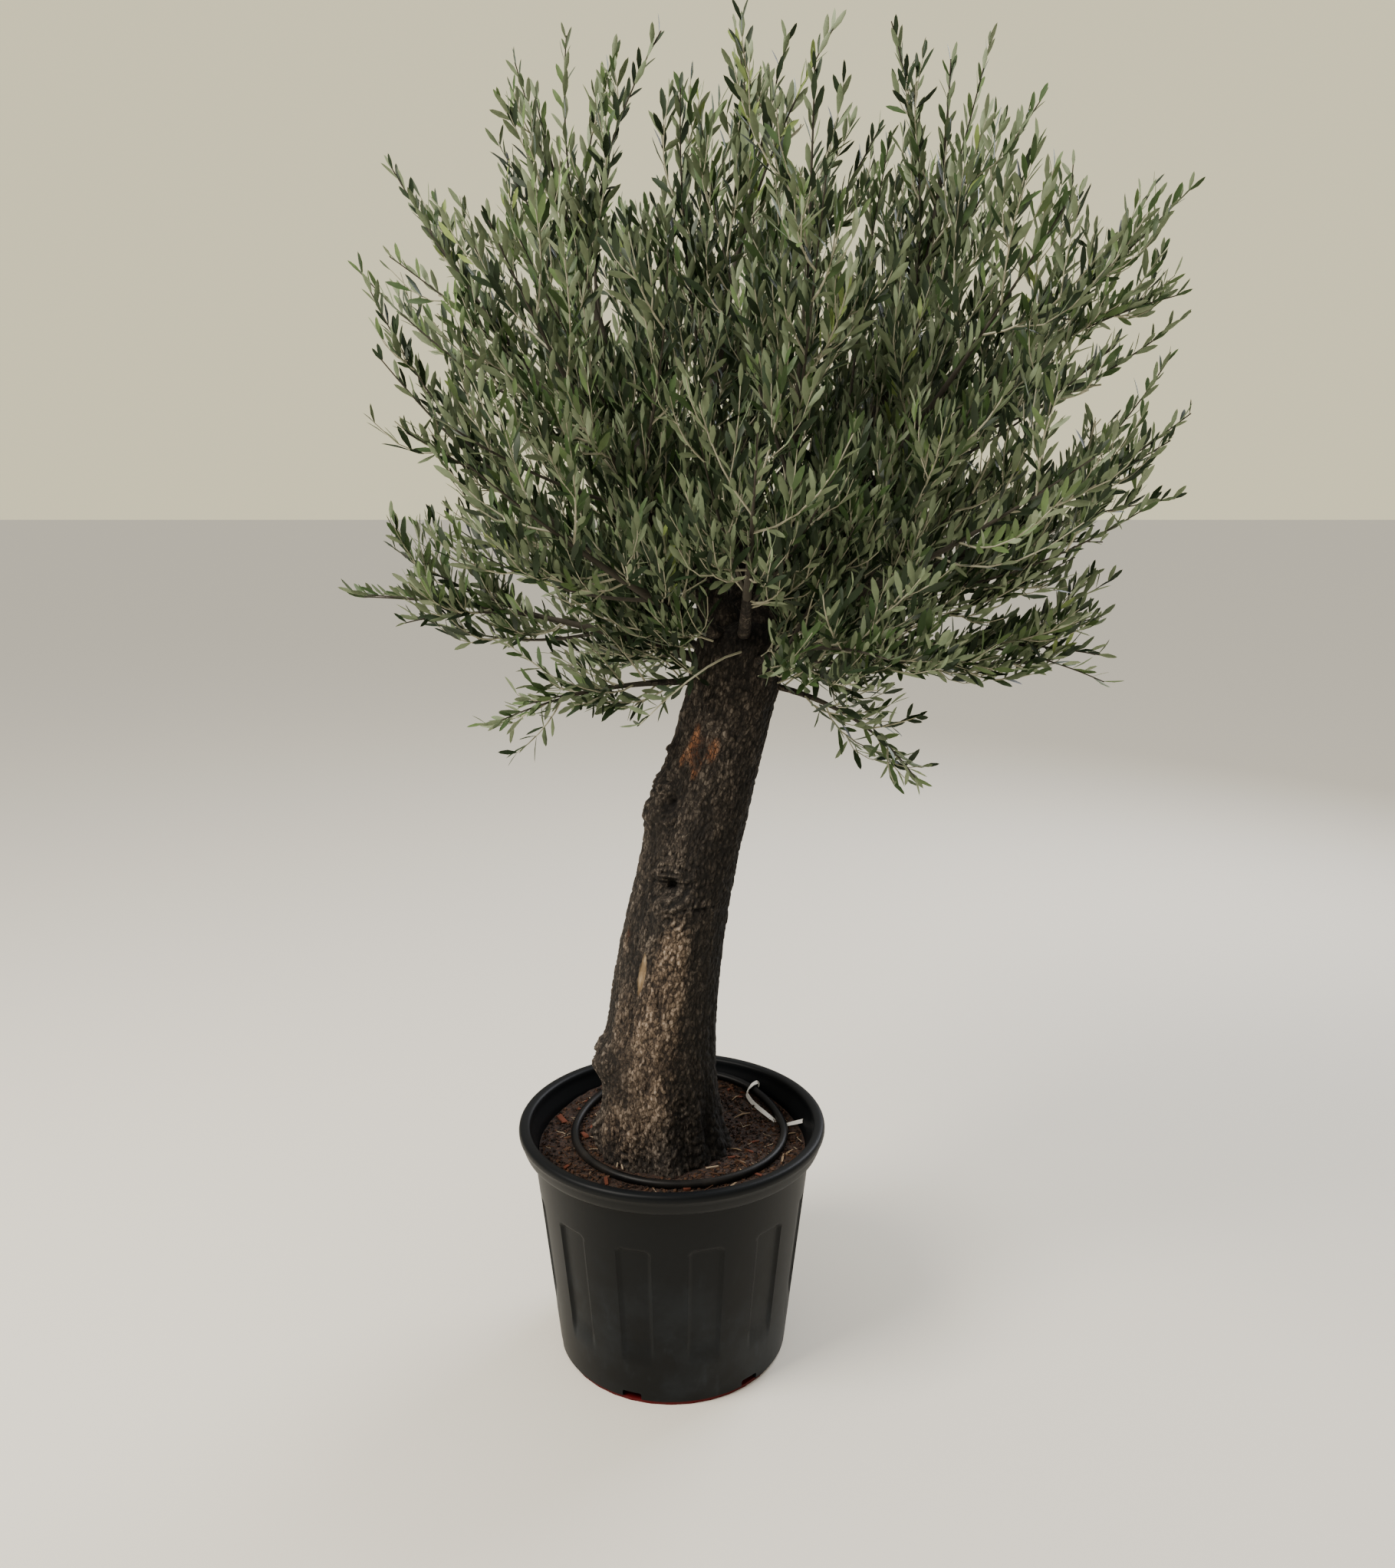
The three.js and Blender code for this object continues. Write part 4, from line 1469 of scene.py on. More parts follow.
@dataclass
class Crown:
    """The masses of leaves, grown on from the limbs.

    A limb's stem carries twigs by the solids' rule, and side stems fan out beside it. Every twig
    carries short sprigs that turn up, and every shoot carries opposite pairs of leaves.
    """

    boughs: Boughs
    lowest: Array
    highest: Array
    twig_from: float = 0.10
    twig_to: float = 0.88
    twig_angle: float = 50.0
    light_share: float = 0.4
    outward: float = 0.3
    lift: float = 0.95
    lift_low: float = 0.25
    stem_twigs: int = 9
    side_stems: int = 3
    side_twigs: int = 7
    leader_twigs: int = 4
    leader_wide: float = 0.34
    side_wide: float = 0.72
    sprigs: int = 3
    hanging_sprigs: int = 1
    sprig_angle: float = 34.0
    thinning: float = 0.42
    inner_shoots: int = 15
    inner_angle: float = 52.0
    head_shoots: int = 22
    whip: tuple[float, ...] = (0.125, -0.110, 1.410, 0.060, -0.280, 1.420, -0.050, -0.230, 1.300)
    grown: float = 0.985
    pair_gap: float = 0.0185
    bare: float = 0.08
    leaf: LeafShape = field(default_factory=LeafShape)
    # Leaf colours, dark to light. Sprays in the crown's core and front take the dark ones, which is
    # painted shade; outer and upper sprays take the light ones, partly the young leaves' own
    # lighter green and partly painted light. lit_from moves the core forwards, which darkens the
    # front sprays.
    upper: tuple[str, ...] = ("22331b", "3d542c", "5f7546", "7f9250")
    under: tuple[str, ...] = ("8f9c7d", "717f60")
    shaded_core_tints: tuple[float, ...] = (0.72, 0.23, 0.04, 0.01)
    lit_outer_tints: tuple[float, ...] = (0.16, 0.38, 0.38, 0.08)
    core: tuple[float, ...] = (0.14, 0.02, 1.66)
    core_size: float = 0.72
    lit_from: tuple[float, ...] = (0.0, 0.12, 0.03)

    def light(self, limb: Limb) -> Array:
        """Gives the way that a limb's shoots turn.

        Args:
            limb: the limb.

        Returns:
            The way, upwards and a little outwards.
        """
        lift = self.lift_low if limb.rise < 0 else self.lift
        return bearing(limb.heading) * self.outward + UP * lift

    def fullness(self, limb: Limb) -> float:
        """Gives the share of the usual twigs that a limb carries: slim masses have fewer."""
        return limb.leafy * min(1.0, max(0.25, (limb.spread - 0.06) / 0.18))

    def openness(self, place: Array) -> float:
        """Tells how far out in the crown a place is, from 0 in the core to 1."""
        away = np.linalg.norm(place - np.array(self.core)) / self.core_size
        return float(np.clip(away, 0, 1)) ** 1.6

    def clear(self, points: Array, openings: bool = True) -> Array:
        """Tells which points are within the solids' reach and outside the crown's openings.

        Args:
            points: a row for each point.
            openings: whether the openings count.

        Returns:
            A flag for each point.
        """
        kept = ((points > self.lowest) & (points < self.highest)).all(1)
        for x, z, wide in OPENINGS if openings else ():
            middle = np.array([x, 0.0, z])
            lane = unit(middle - EYE)
            offset = points - middle
            beside = offset - (offset @ lane)[:, None] * lane
            kept &= np.linalg.norm(beside, axis=1) > wide
        return kept

    def sprout(
        self, set_off: tuple[Array, Array, Array], length: float, level: Level, bare: float
    ) -> Shoot:
        """Grows one shoot, up to the first place that isn't clear.

        Args:
            set_off: its start, the way that it leaves and the way to its tip.
            length: how far its tip is.
            level: how fine it is.
            bare: the share of it that has no leaves.

        Returns:
            The shoot.
        """
        start, first, last = set_off
        line = Curve(start, start + first * length * 0.5, start + last * length)
        shares = np.linspace(0, self.grown, 18)
        blocked = ~self.clear(line.point(shares))
        kept = float(shares[max(0, int(blocked.argmax()) - 1)]) if blocked.any() else 1.0
        return Shoot(line, *level.value[:2], level, bare, kept)

    def leaders_of(self, limb: Limb, curve: Curve) -> list[Shoot]:
        """Grows the long shoots that reach the furthest tips of a mass.

        Args:
            limb: the limb that carries them.
            curve: its line.

        Returns:
            The long shoots.
        """
        shoots = []
        for name, share, *tip in LEADERS:
            if name == limb.name:
                start, end = curve.point(share), np.array(tip)
                middle = start + curve.tangent(share) * float(np.linalg.norm(end - start)) * 0.5
                girth, slim = Level.STEM.value[:2]
                shoots.append(Shoot(Curve(start, middle, end), girth, slim, Level.STEM, 0.30))
        return shoots

    def twigs_of(self, limb: Limb, curve: Curve, draw: Draw) -> list[Shoot]:
        """Grows the twigs of a mass's stem, by the solids' rule.

        Args:
            limb: the limb that carries them.
            curve: its line.
            draw: the seeded draw.

        Returns:
            The twigs.
        """
        phase = draw() * TURN
        shoots = []
        for k in range(max(5, round(self.stem_twigs * self.fullness(limb)))):
            along = self.twig_from + (self.twig_to - self.twig_from) * spread_share(k)
            share = BOUGH_SHARE + (1 - BOUGH_SHARE) * along
            angle = self.twig_angle * (0.85 + 0.3 * draw())
            set_off = curve.offshoot(
                share, phase + k * GOLDEN_TURN, angle, self.light(limb), self.light_share
            )
            room = min(1, 0.45 + 1.5 * along, 1.45 - 0.95 * along)
            length = limb.spread * room * (0.9 + 0.2 * draw())
            shoots.append(self.sprout(set_off, length, Level.TWIG, 0.12))
        return shoots

    def side_stems_of(self, limb: Limb, curve: Curve, draw: Draw) -> list[Shoot]:
        """Grows the stems that fan out beside a limb's own, within its reach.

        Args:
            limb: the limb that carries them.
            curve: its line.
            draw: the seeded draw.

        Returns:
            The side stems.
        """
        phase = draw() * TURN
        light = unit(self.light(limb))
        shoots = []
        for k in range(round(self.side_stems * self.fullness(limb))):
            share = 0.24 + 0.24 * spread_share(k)
            turn = phase + k * TURN / self.side_stems + 0.5 * draw()
            set_off = curve.offshoot(share, turn, limb.fan * (0.8 + 0.5 * draw()), light, 0.26)
            length = limb.reach * (1 - share) * (0.78 + 0.20 * draw())
            start, _, last = set_off
            out = float(np.linalg.norm(start + last * length - HEAD))
            length *= min(1.0, limb.reach * 0.98 / out)
            shoots.append(self.sprout(set_off, length, Level.STEM, 0.40))
        return shoots

    def branch(
        self, parent: Shoot, limb: Limb, draw: Draw, count: int, wide: float | None = None
    ) -> list[Shoot]:
        """Grows shoots along another shoot, inside its reach.

        Args:
            parent: the shoot that carries them.
            limb: the limb that the mass is on.
            draw: the seeded draw.
            count: how many there are.
            wide: the share of the mass's spread that twigs reach, or nothing for sprigs.

        Returns:
            The new shoots.
        """
        parent_length = parent.curve.length()
        light = unit(self.light(limb))
        phase = draw() * TURN
        level, low, along = (Level.TWIG, 0.16, 0.76) if wide else (Level.SPRIG, 0.10, 0.72)
        shoots = []
        for k in range(count):
            share = low + along * spread_share(k)
            angle = self.sprig_angle * (0.8 + 0.5 * draw())
            set_off = parent.curve.offshoot(share, phase + k * GOLDEN_TURN, angle, light, 0.45)
            if wide:
                room = min(1.0, 0.5 + 1.2 * share, 1.5 - share)
                length = limb.spread * wide * room * (0.75 + 0.4 * draw())
            else:
                length = 0.030 + parent_length * (0.22 + 0.30 * (1 - share)) * (0.7 + 0.6 * draw())
            wanted = draw() > self.thinning * self.openness(set_off[0])
            if share < parent.kept and wanted:
                shoots.append(self.sprout(set_off, length, level, 0.10))
        return shoots

    def inner_shoots_of(self, limb: Limb, curve: Curve, draw: Draw) -> list[Shoot]:
        """Grows the short leafy shoots on a bough's bare foot, which fill the crown's core.

        Args:
            limb: the limb that carries them.
            curve: its line.
            draw: the seeded draw.

        Returns:
            The short shoots.
        """
        phase = draw() * TURN
        light = unit(self.light(limb))
        shoots = []
        for k in range(round(self.inner_shoots * self.fullness(limb) / limb.leafy)):
            share = 0.10 + 0.42 * spread_share(k)
            angle = self.inner_angle * (0.8 + 0.4 * draw())
            set_off = curve.offshoot(share, phase + k * GOLDEN_TURN, angle, light, 0.4)
            shoots.append(self.sprout(set_off, 0.09 + 0.16 * draw(), Level.TWIG, 0.22))
        return shoots

    def grow(self, limb: Limb, index: int) -> list[Shoot]:
        """Grows all shoots of a mass.

        Args:
            limb: the limb that carries the mass.
            index: its place among the limbs, which seeds the draw.

        Returns:
            The stems, twigs and sprigs.
        """
        curve = self.boughs.curves[limb.name]
        draw = Draw(1000 + index * 77)
        fine = Draw(9000 + index * 77 + limb.seed * 1009)
        foot = float(self.boughs.girth(limb, BOUGH_SHARE))
        shoots = [Shoot(curve.part(BOUGH_SHARE, 1), foot, 0.0012, Level.STEM, 0.45)]
        twigs = self.twigs_of(limb, curve, draw)
        side_twigs = max(3, round(self.side_twigs * limb.leafy))
        for stem in self.side_stems_of(limb, curve, fine):
            shoots.append(stem)
            twigs += self.branch(stem, limb, fine, side_twigs, self.side_wide)
        twigs += self.inner_shoots_of(limb, curve, fine)
        for leader in self.leaders_of(limb, curve):
            shoots.append(leader)
            twigs += self.branch(leader, limb, fine, self.leader_twigs, self.leader_wide)
        sprigs = self.sprigs if limb.rise > HANGING_RISE else self.hanging_sprigs
        for twig in twigs:
            shoots += [twig, *self.branch(twig, limb, fine, sprigs)]
        return shoots

    def grow_head(self) -> list[Shoot]:
        """Grows the short shoots on the trunk's head, which hide the fork, and the long bare whip.

        Returns:
            The shoots.
        """
        draw = Draw(4242)
        shoots = []
        for k in range(self.head_shoots):
            height = 1.35 + 0.11 * spread_share(k)
            heading = math.degrees(k * GOLDEN_TURN)
            start = self.boughs.trunk.middle(height) + bearing(heading) * 0.095
            first = bearing(heading, 5 + 35 * draw())
            set_off = (start, first, unit(first * 0.75 + UP * 0.25))
            twig = self.sprout(set_off, 0.11 + 0.13 * draw(), Level.TWIG, 0.15)
            shoots += [twig, *self.branch(twig, LIMBS[0], draw, self.sprigs + 1)]
        whip = Curve(*np.reshape(self.whip, (3, 3)))
        return [*shoots, Shoot(whip, 0.0022, 0.0010, Level.TWIG, 0.62)]

    def leaves_on(self, shoot: Shoot, limb: Limb, rng: np.random.Generator) -> tuple[Array, ...]:
        """Sets leaves on a shoot in opposite pairs, each pair square to the last.

        Args:
            shoot: the shoot.
            limb: the limb that the mass is on.
            rng: the seeded generator.

        Returns:
            The roots, the forward and upward directions and the lengths of the leaves.
        """
        pairs = max(2, round(shoot.curve.length() * (1 - shoot.first) / self.pair_gap))
        shares = np.linspace(shoot.first, 0.975, pairs)
        roots, along = shoot.curve.point(shares), shoot.curve.tangent(shares)
        across = unit(np.cross(along, sideways(along[0], rng.random() * ANY_TURN)))
        over = np.cross(along, across)
        turns = rng.random() * ANY_TURN + np.arange(pairs) * (math.pi / 2 + 0.12)
        side = across * np.cos(turns)[:, None] + over * np.sin(turns)[:, None]
        raised = 0.06 if limb.rise < HANGING_RISE else 0.50
        grown = 0.70 + 0.34 * np.sin(math.pi * np.clip(shares * 0.85 + 0.12, 0, 1))
        blocks = []
        for sign in (1, -1):
            open_up = np.radians(52 - 26 * shares + rng.normal(0, 8, pairs))[:, None]
            forward = along * np.cos(open_up) + side * sign * np.sin(open_up)
            forward = unit(forward + UP * raised + rng.normal(0, 0.09, (pairs, 3)))
            upper = along * 0.6 + UP * 0.3 + rng.normal(0, 0.75, (pairs, 3))
            longs = self.leaf.long * grown * rng.uniform(0.80, 1.22, pairs)
            kept = (rng.random(pairs) > self.bare) & (shares <= shoot.kept)
            blocks.append((roots[kept], forward[kept], upper[kept], longs[kept]))
        roots, forward, upper, longs = (np.concatenate(parts) for parts in zip(*blocks))
        thin = shoot.level is not Level.STEM
        kept = self.clear(roots + forward * longs[:, None], thin) & self.clear(roots, thin)
        return roots[kept], forward[kept], upper[kept], longs[kept]

    def tint(self, shoot: Shoot, rng: np.random.Generator) -> int:
        """Deals a spray of leaves its upper colour: darker in the crown's core and front, which is
        painted shade, and lighter further out, partly the young leaves' own green and partly
        painted light.

        Args:
            shoot: the shoot that the leaves are on.
            rng: the seeded generator.

        Returns:
            The colour's place among the upper ones.
        """
        place = shoot.curve.point(0.6) + np.array(self.lit_from)
        out = self.openness(place) ** 1.8
        weights = np.array(self.shaded_core_tints) * (1 - out) + np.array(self.lit_outer_tints) * out
        return int(rng.choice(len(weights), p=weights))

    def dress(
        self, name: str, shoots: list[Shoot], index: int, wood: Soup, materials: list[Material]
    ) -> int:
        """Makes the leaves of one mass, and adds its shoots to the shared twigs.

        Args:
            name: the mass's name.
            shoots: its shoots.
            index: its place among the limbs, or past them for the head's, which seeds the draw.
            wood: where the shoots' tubes are gathered.
            materials: the upper and then the lower leaf materials.

        Returns:
            How many leaves there are.
        """
        rng = np.random.default_rng(400 + index)
        limb = LIMBS[index] if index < len(LIMBS) else LIMBS[0]
        leaf_points, (leaf_faces, underside) = self.leaf.points(), self.leaf.faces()
        soup = Soup()
        for shoot in shoots:
            steps, sides = shoot.level.value[2:]
            stem = shoot.level is Level.STEM
            shares = np.linspace(0, min(shoot.kept, self.grown), steps)
            radii = shoot.tip + (shoot.girth - shoot.tip) * (1 - shares) ** (1.7 if stem else 1)
            wood.add(*tube(shoot.curve.point(shares), radii, sides), int(not stem))
            roots, forward, upper, longs = self.leaves_on(shoot, limb, rng)
            side = unit(np.cross(upper, forward))
            basis = np.stack([forward, side, np.cross(forward, side)], 1) * longs[:, None, None]
            points = (leaf_points @ basis + roots[:, None]).reshape(-1, 3)
            starts = np.arange(len(roots)) * len(leaf_points)
            faces = (leaf_faces[None] + starts[:, None, None]).reshape(-1, 3)
            tint = self.tint(shoot, rng)
            # Sprays with the two darkest upper colours take the darker underside, which is painted
            # shade.
            slots = np.where(underside, len(self.upper) + int(tint < 2), tint)
            soup.add(points, faces, np.tile(slots, len(roots)))
        piece = soup.mesh("leaves_" + name, materials, 60)
        ready_piece(piece, "leaf", *(["foliage_" + name] if name == limb.name else []))
        return soup.count // len(leaf_points)

    def build(self) -> None:
        """Makes every mass of leaves, and all twigs as two joined pieces."""
        leaf = [PlainFinish(f"leaf_upper_{k}", c, 0.5).make() for k, c in enumerate(self.upper)]
        leaf += [PlainFinish(f"leaf_under_{k}", c, 0.7).make() for k, c in enumerate(self.under)]
        barks = (("stem_bark", "3f3b33", 0.85), ("twig_bark", "a9a68f", 0.75))
        bark = [PlainFinish(*values).make() for values in barks]
        leaves, half = 0, len(LIMBS) // 2
        for name, start, end in (("twigs_high", 0, half), ("twigs_low", half, len(LIMBS))):
            wood = Soup()
            for k in range(start, end):
                leaves += self.dress(LIMBS[k].name, self.grow(LIMBS[k], k), k, wood, leaf)
            if end > half:
                leaves += self.dress("head", self.grow_head(), 100, wood, leaf)
            ready_piece(wood.mesh(name, bark, 70), "bough")
        LOG.info("crown: %d leaves", leaves)


# The pot and what is in it


@dataclass
class Pot:
    """The black planter, with its sunk panels, its belled band and its round rim."""

    foot_z: float = 0.0063
    foot_radius: float = 0.227
    shoulder_radius: float = 0.272
    shoulder: float = 0.424
    wall: float = 0.008
    floor: float = 0.018
    rim: tuple[tuple[float, float], ...] = (
        (0.2730, 0.4240),
        (0.2880, 0.4300),
        (0.2900, 0.4320),
        (0.2925, 0.4380),
        (0.2960, 0.4490),
        (0.2976, 0.4555),
        (0.2994, 0.4570),
        (0.3000, 0.4595),
        (0.3000, 0.4635),
        (0.2992, 0.4672),
        (0.2972, 0.4703),
        (0.2940, 0.4720),
        (0.2890, 0.4718),
        (0.2840, 0.4712),
        (0.2800, 0.4698),
        (0.2780, 0.4668),
        (0.2770, 0.4610),
        (0.2750, 0.4500),
        (0.2665, 0.4360),
        (0.2640, 0.4240),
    )
    flutes: int = 12
    flute_depth: float = 0.0055
    flute_foot: float = 0.078
    flute_fade: float = 0.060
    flute_top: float = 0.340
    flute_edge: float = 0.006
    flute_round: float = 0.013
    panel_half: float = 7.5
    steps: int = 480
    notch_wide: float = 0.038
    notch_tall: float = 0.015
    notches: int = 6
    notch_heading: float = 251.0

    def radius(self, height: Array | float) -> Array | float:
        """Gives the body's outer radius at a height above the pot's foot."""
        slope = (self.shoulder_radius - self.foot_radius) * (height / self.shoulder)
        return self.foot_radius + slope

    def rings(self) -> list[tuple[float, float]]:
        """Lists the rings, from the middle of the floor's underside to that of its upper side.

        Returns:
            The radius and height of each.
        """
        fade, top = self.flute_foot, self.flute_top
        outer = [0.0015, 0.006, 0.016, 0.030, 0.048]
        outer += list(np.arange(fade - 0.012, fade + self.flute_fade + 0.006, 0.006))
        outer += [0.16, 0.20, 0.24, 0.28, *np.arange(top - 0.032, top + 0.010, 0.003)]
        outer += [0.358, 0.374, 0.390, 0.404, 0.414, 0.420, self.shoulder - 0.001]
        foot, inside = self.foot_radius, self.floor + self.wall
        rows = [(0.03, self.floor), (foot - 0.016, self.floor), (foot - 0.0118, 0.001)]
        rows += [(foot - 0.0105, 0.0), (foot - 0.002, 0.0)]
        rows += [(float(self.radius(z)), float(z)) for z in outer]
        return [*rows, *self.rim, (float(self.radius(inside)) - self.wall, inside), (0.03, inside)]

    def sink_panels(self, piece: Piece) -> None:
        """Moves the outside inwards in each sunk panel, round at its top and fading at its foot.

        Args:
            piece: the pot.
        """
        flat = read_places(piece)
        radii = np.hypot(flat[:, 0], flat[:, 1])
        turns = np.degrees(np.arctan2(flat[:, 0], -flat[:, 1]))
        spacing = 360 / self.flutes
        across = np.abs((turns % spacing) - spacing / 2)
        wide = (across - self.panel_half) / 180 * math.pi * radii
        corner = np.stack([wide, flat[:, 2] - self.flute_top]) + self.flute_round
        inside = np.minimum(corner.max(0), 0)
        away = inside + np.hypot(*np.maximum(corner, 0)) - self.flute_round
        faded = smoothstep(flat[:, 2], self.flute_foot, self.flute_foot + self.flute_fade)
        sunk = self.flute_depth * (1 - smoothstep(away, -self.flute_edge, 0)) * faded
        sunk = np.where(np.abs(radii - self.radius(flat[:, 2])) < 0.002, sunk, 0)
        flat[:, :2] *= ((radii - sunk) / np.maximum(radii, 1e-6))[:, None]
        write_places(piece, flat)

    def cut_notches(self, piece: Piece) -> None:
        """Cuts the drain notches out of the foot.

        Args:
            piece: the pot.
        """
        for k in range(self.notches):
            deselect_all()
            turn = math.radians(self.notch_heading + k * 360 / self.notches)
            place = (self.foot_radius * math.cos(turn), self.foot_radius * math.sin(turn), 0)
            bpy.ops.mesh.primitive_cube_add(size=1, location=place, rotation=(0, 0, turn))
            cutter = bpy.context.object
            cutter.scale = (0.04, self.notch_wide, self.notch_tall * 2)
            bpy.ops.object.transform_apply(location=True, rotation=True, scale=True)
            apply_modifier(cutter, "BEVEL", width=0.004, segments=3)
            apply_modifier(piece, "BOOLEAN", operation="DIFFERENCE", object=cutter, solver="EXACT")
            bpy.data.objects.remove(cutter)

    def build(self) -> Piece:
        """Turns the pot, sinks its panels, cuts its notches and dresses it.

        Returns:
            The pot.
        """
        piece = lathe("planter", self.rings(), self.steps)
        self.sink_panels(piece)
        self.cut_notches(piece)
        write_places(piece, read_places(piece) + UP * self.foot_z)
        finish = MouldedPlastic("pot_plastic", "06090c", "47525c", 0.11, 0.46, 0.40)
        return finish_piece(piece, 38, finish, "pot", "pot")


@dataclass
class PottingSoil:
    """The soil in the pot, with its crumbs, bark chips, dry leaves and small sticks."""

    pot: Pot
    level: float = 0.420
    back_rise: float = 0.020
    back_from: float = 0.060
    edge_rise: float = 0.006
    under: float = 0.050
    clear: float = 0.128
    steps: int = 260
    ring_gap: float = 0.0035
    crumbs: int = 3000
    chips: int = 60
    straws: int = 60
    sticks: int = 420
    big_chips: tuple[tuple[float, ...], ...] = (
        (-0.228, 0.090, 0.034, 0.012, 125),
        (-0.176, 0.028, 0.036, 0.010, 118),
        (-0.200, -0.098, 0.020, 0.007, 60),
        (-0.121, -0.150, 0.024, 0.008, 100),
        (-0.135, -0.172, 0.014, 0.006, 20),
        (0.030, -0.178, 0.016, 0.006, 10),
        (0.120, 0.200, 0.018, 0.007, 40),
    )
    pale_sticks: tuple[tuple[float, ...], ...] = (
        (-0.092, -0.108, 0.030, 102),
        (-0.104, -0.100, 0.018, 85),
        (0.066, -0.104, 0.024, 8),
    )
    fresh_leaf: tuple[float, float] = (0.118, -0.148)
    codes: str = "170e09 2b1b14 48301f 5c2f1e 948067 a09079 74892f"

    def height(self, x: Array | float, y: Array | float) -> Array:
        """Gives the soil's smooth level, as the solid has it.

        Args:
            x: the places' x.
            y: their y.

        Returns:
            The height at each.
        """
        back = smoothstep(np.asarray(y), self.back_from, 0.270) * self.back_rise
        edge = smoothstep(np.hypot(x, y), 0.235, 0.270) * self.edge_rise
        return self.level + back + edge

    @staticmethod
    def lumps(x: float, y: float) -> float:
        """Gives how far the soil's lumps stand above its smooth level.

        Args:
            x: the place's x.
            y: its y.

        Returns:
            The height of the lumps there.
        """
        place = Vector((x, y, 0.0))
        clods = noise.noise(place * 38) * 0.0022
        return clods + noise.noise(place * 120) * 0.0014 + abs(noise.noise(place * 260)) * 0.0010

    def build_bed(self) -> Piece:
        """Makes the bed of soil with its lumps.

        Returns:
            The bed.
        """
        edge = float(self.pot.radius(self.level - self.pot.foot_z)) - self.pot.wall - 0.0008
        foot = self.level - self.under
        rings = [(0.012, foot), (edge - 0.006, foot), (edge, self.level)]
        inner = np.arange(edge - self.ring_gap, 0.06, -self.ring_gap)
        piece = lathe("soil_bed", rings + [(float(r), self.level) for r in inner], self.steps)
        flat = read_places(piece)
        top = flat[:, 2] > self.level - 0.001
        lumps = np.array([self.lumps(x, y) for x, y in flat[top, :2]])
        flat[top, 2] = self.height(flat[top, 0], flat[top, 1]) + lumps - 0.001
        write_places(piece, flat)
        return finish_piece(piece, 60, SoilFinish("potting_mix"), "soil", "soil")

    def spot(self, x: float, y: float, lift: float) -> Array:
        """Gives the place that is so far above the soil's smooth level."""
        return np.array([x, y, float(self.height(x, y)) + lift])

    def places(self, count: int, rng: np.random.Generator) -> Array:
        """Draws places on the soil, clear of the trunk.

        Args:
            count: how many are drawn.
            rng: the seeded generator.

        Returns:
            A row for each.
        """
        rows = []
        while len(rows) < count:
            x, y = rng.uniform(-0.262, 0.262, 2)
            if self.clear < math.hypot(x + 0.019, y + 0.005) and math.hypot(x, y) < 0.258:
                rows.append((x, y, float(self.height(x, y)) + self.lumps(x, y) - 0.001))
        return np.array(rows)

    def build_litter(self) -> Piece:
        """Scatters crumbs, bark chips, dry leaves and small sticks on the soil.

        Returns:
            The joined litter.
        """
        rng, soup = np.random.default_rng(71), Soup()
        self.add_crumbs(soup, rng)
        self.add_chips(soup, rng)
        self.add_leaves(soup, rng)
        self.add_sticks(soup, rng)
        looks = [PlainFinish(f"litter_{k}", code, 0.9) for k, code in enumerate(self.codes.split())]
        piece = soup.mesh("soil_litter", [look.make() for look in looks], 40)
        return ready_piece(piece, "soil")

    def add_crumbs(self, soup: Soup, rng: np.random.Generator) -> None:
        """Scatters crumbs, turned at random.

        Args:
            soup: where they are gathered.
            rng: the seeded generator.
        """
        for place in self.places(self.crumbs, rng):
            size = rng.uniform(0.0012, 0.0042) * rng.uniform(0.5, 1.0, 3)
            lump, faces = block(size, 0.55, rng)
            first = unit(rng.normal(size=3))
            second = unit(np.cross(first, rng.normal(size=3)))
            lump = lump @ np.stack([first, second, np.cross(first, second)])
            soup.add(lump + place + UP * size[2] * 0.3, faces, int(rng.integers(0, 3)))

    def add_chips(self, soup: Soup, rng: np.random.Generator) -> None:
        """Lays the big bark chips and scatters the small ones.

        Args:
            soup: where they are gathered.
            rng: the seeded generator.
        """
        for x, y, long, wide, spin in self.big_chips:
            lump, faces = block((long / 2, wide / 2, 0.0022), 0.62, rng)
            lump = laid(lump, math.radians(spin), rng.normal(0.1, 0.12))
            soup.add(lump + self.spot(x, y, 0.003), faces, 3)
        for place in self.places(self.chips, rng):
            size = (rng.uniform(0.005, 0.010), rng.uniform(0.0022, 0.0045), 0.0014)
            lump, faces = block(size, 0.6, rng)
            rise, slot = rng.normal(0, 0.22), int(rng.integers(2, 4))
            lump = laid(lump, rng.random() * ANY_TURN, rise)
            soup.add(lump + place + UP * 0.0016, faces, slot)

    def add_leaves(self, soup: Soup, rng: np.random.Generator) -> None:
        """Scatters dry leaves, most of them at the right, and lays the green one.

        Args:
            soup: where they are gathered.
            rng: the seeded generator.
        """
        leaf = LeafShape(droop=0.24, fold=0.07, wide=0.12)
        points, faces = leaf.points(), leaf.faces()[0]
        for place in self.places(self.straws, rng):
            if place[0] < 0.06 and rng.random() < 0.7:
                continue
            long, rise = rng.uniform(0.022, 0.044), rng.normal(0.06, 0.12)
            slot = 4 if rng.random() < 0.4 else 2
            straw = laid(points * long, rng.random() * ANY_TURN, rise)
            soup.add(straw + place + UP * 0.003, faces, slot)
        soup.add(laid(points * 0.038, 0.9, 0.35) + self.spot(*self.fresh_leaf, 0.004), faces, 6)

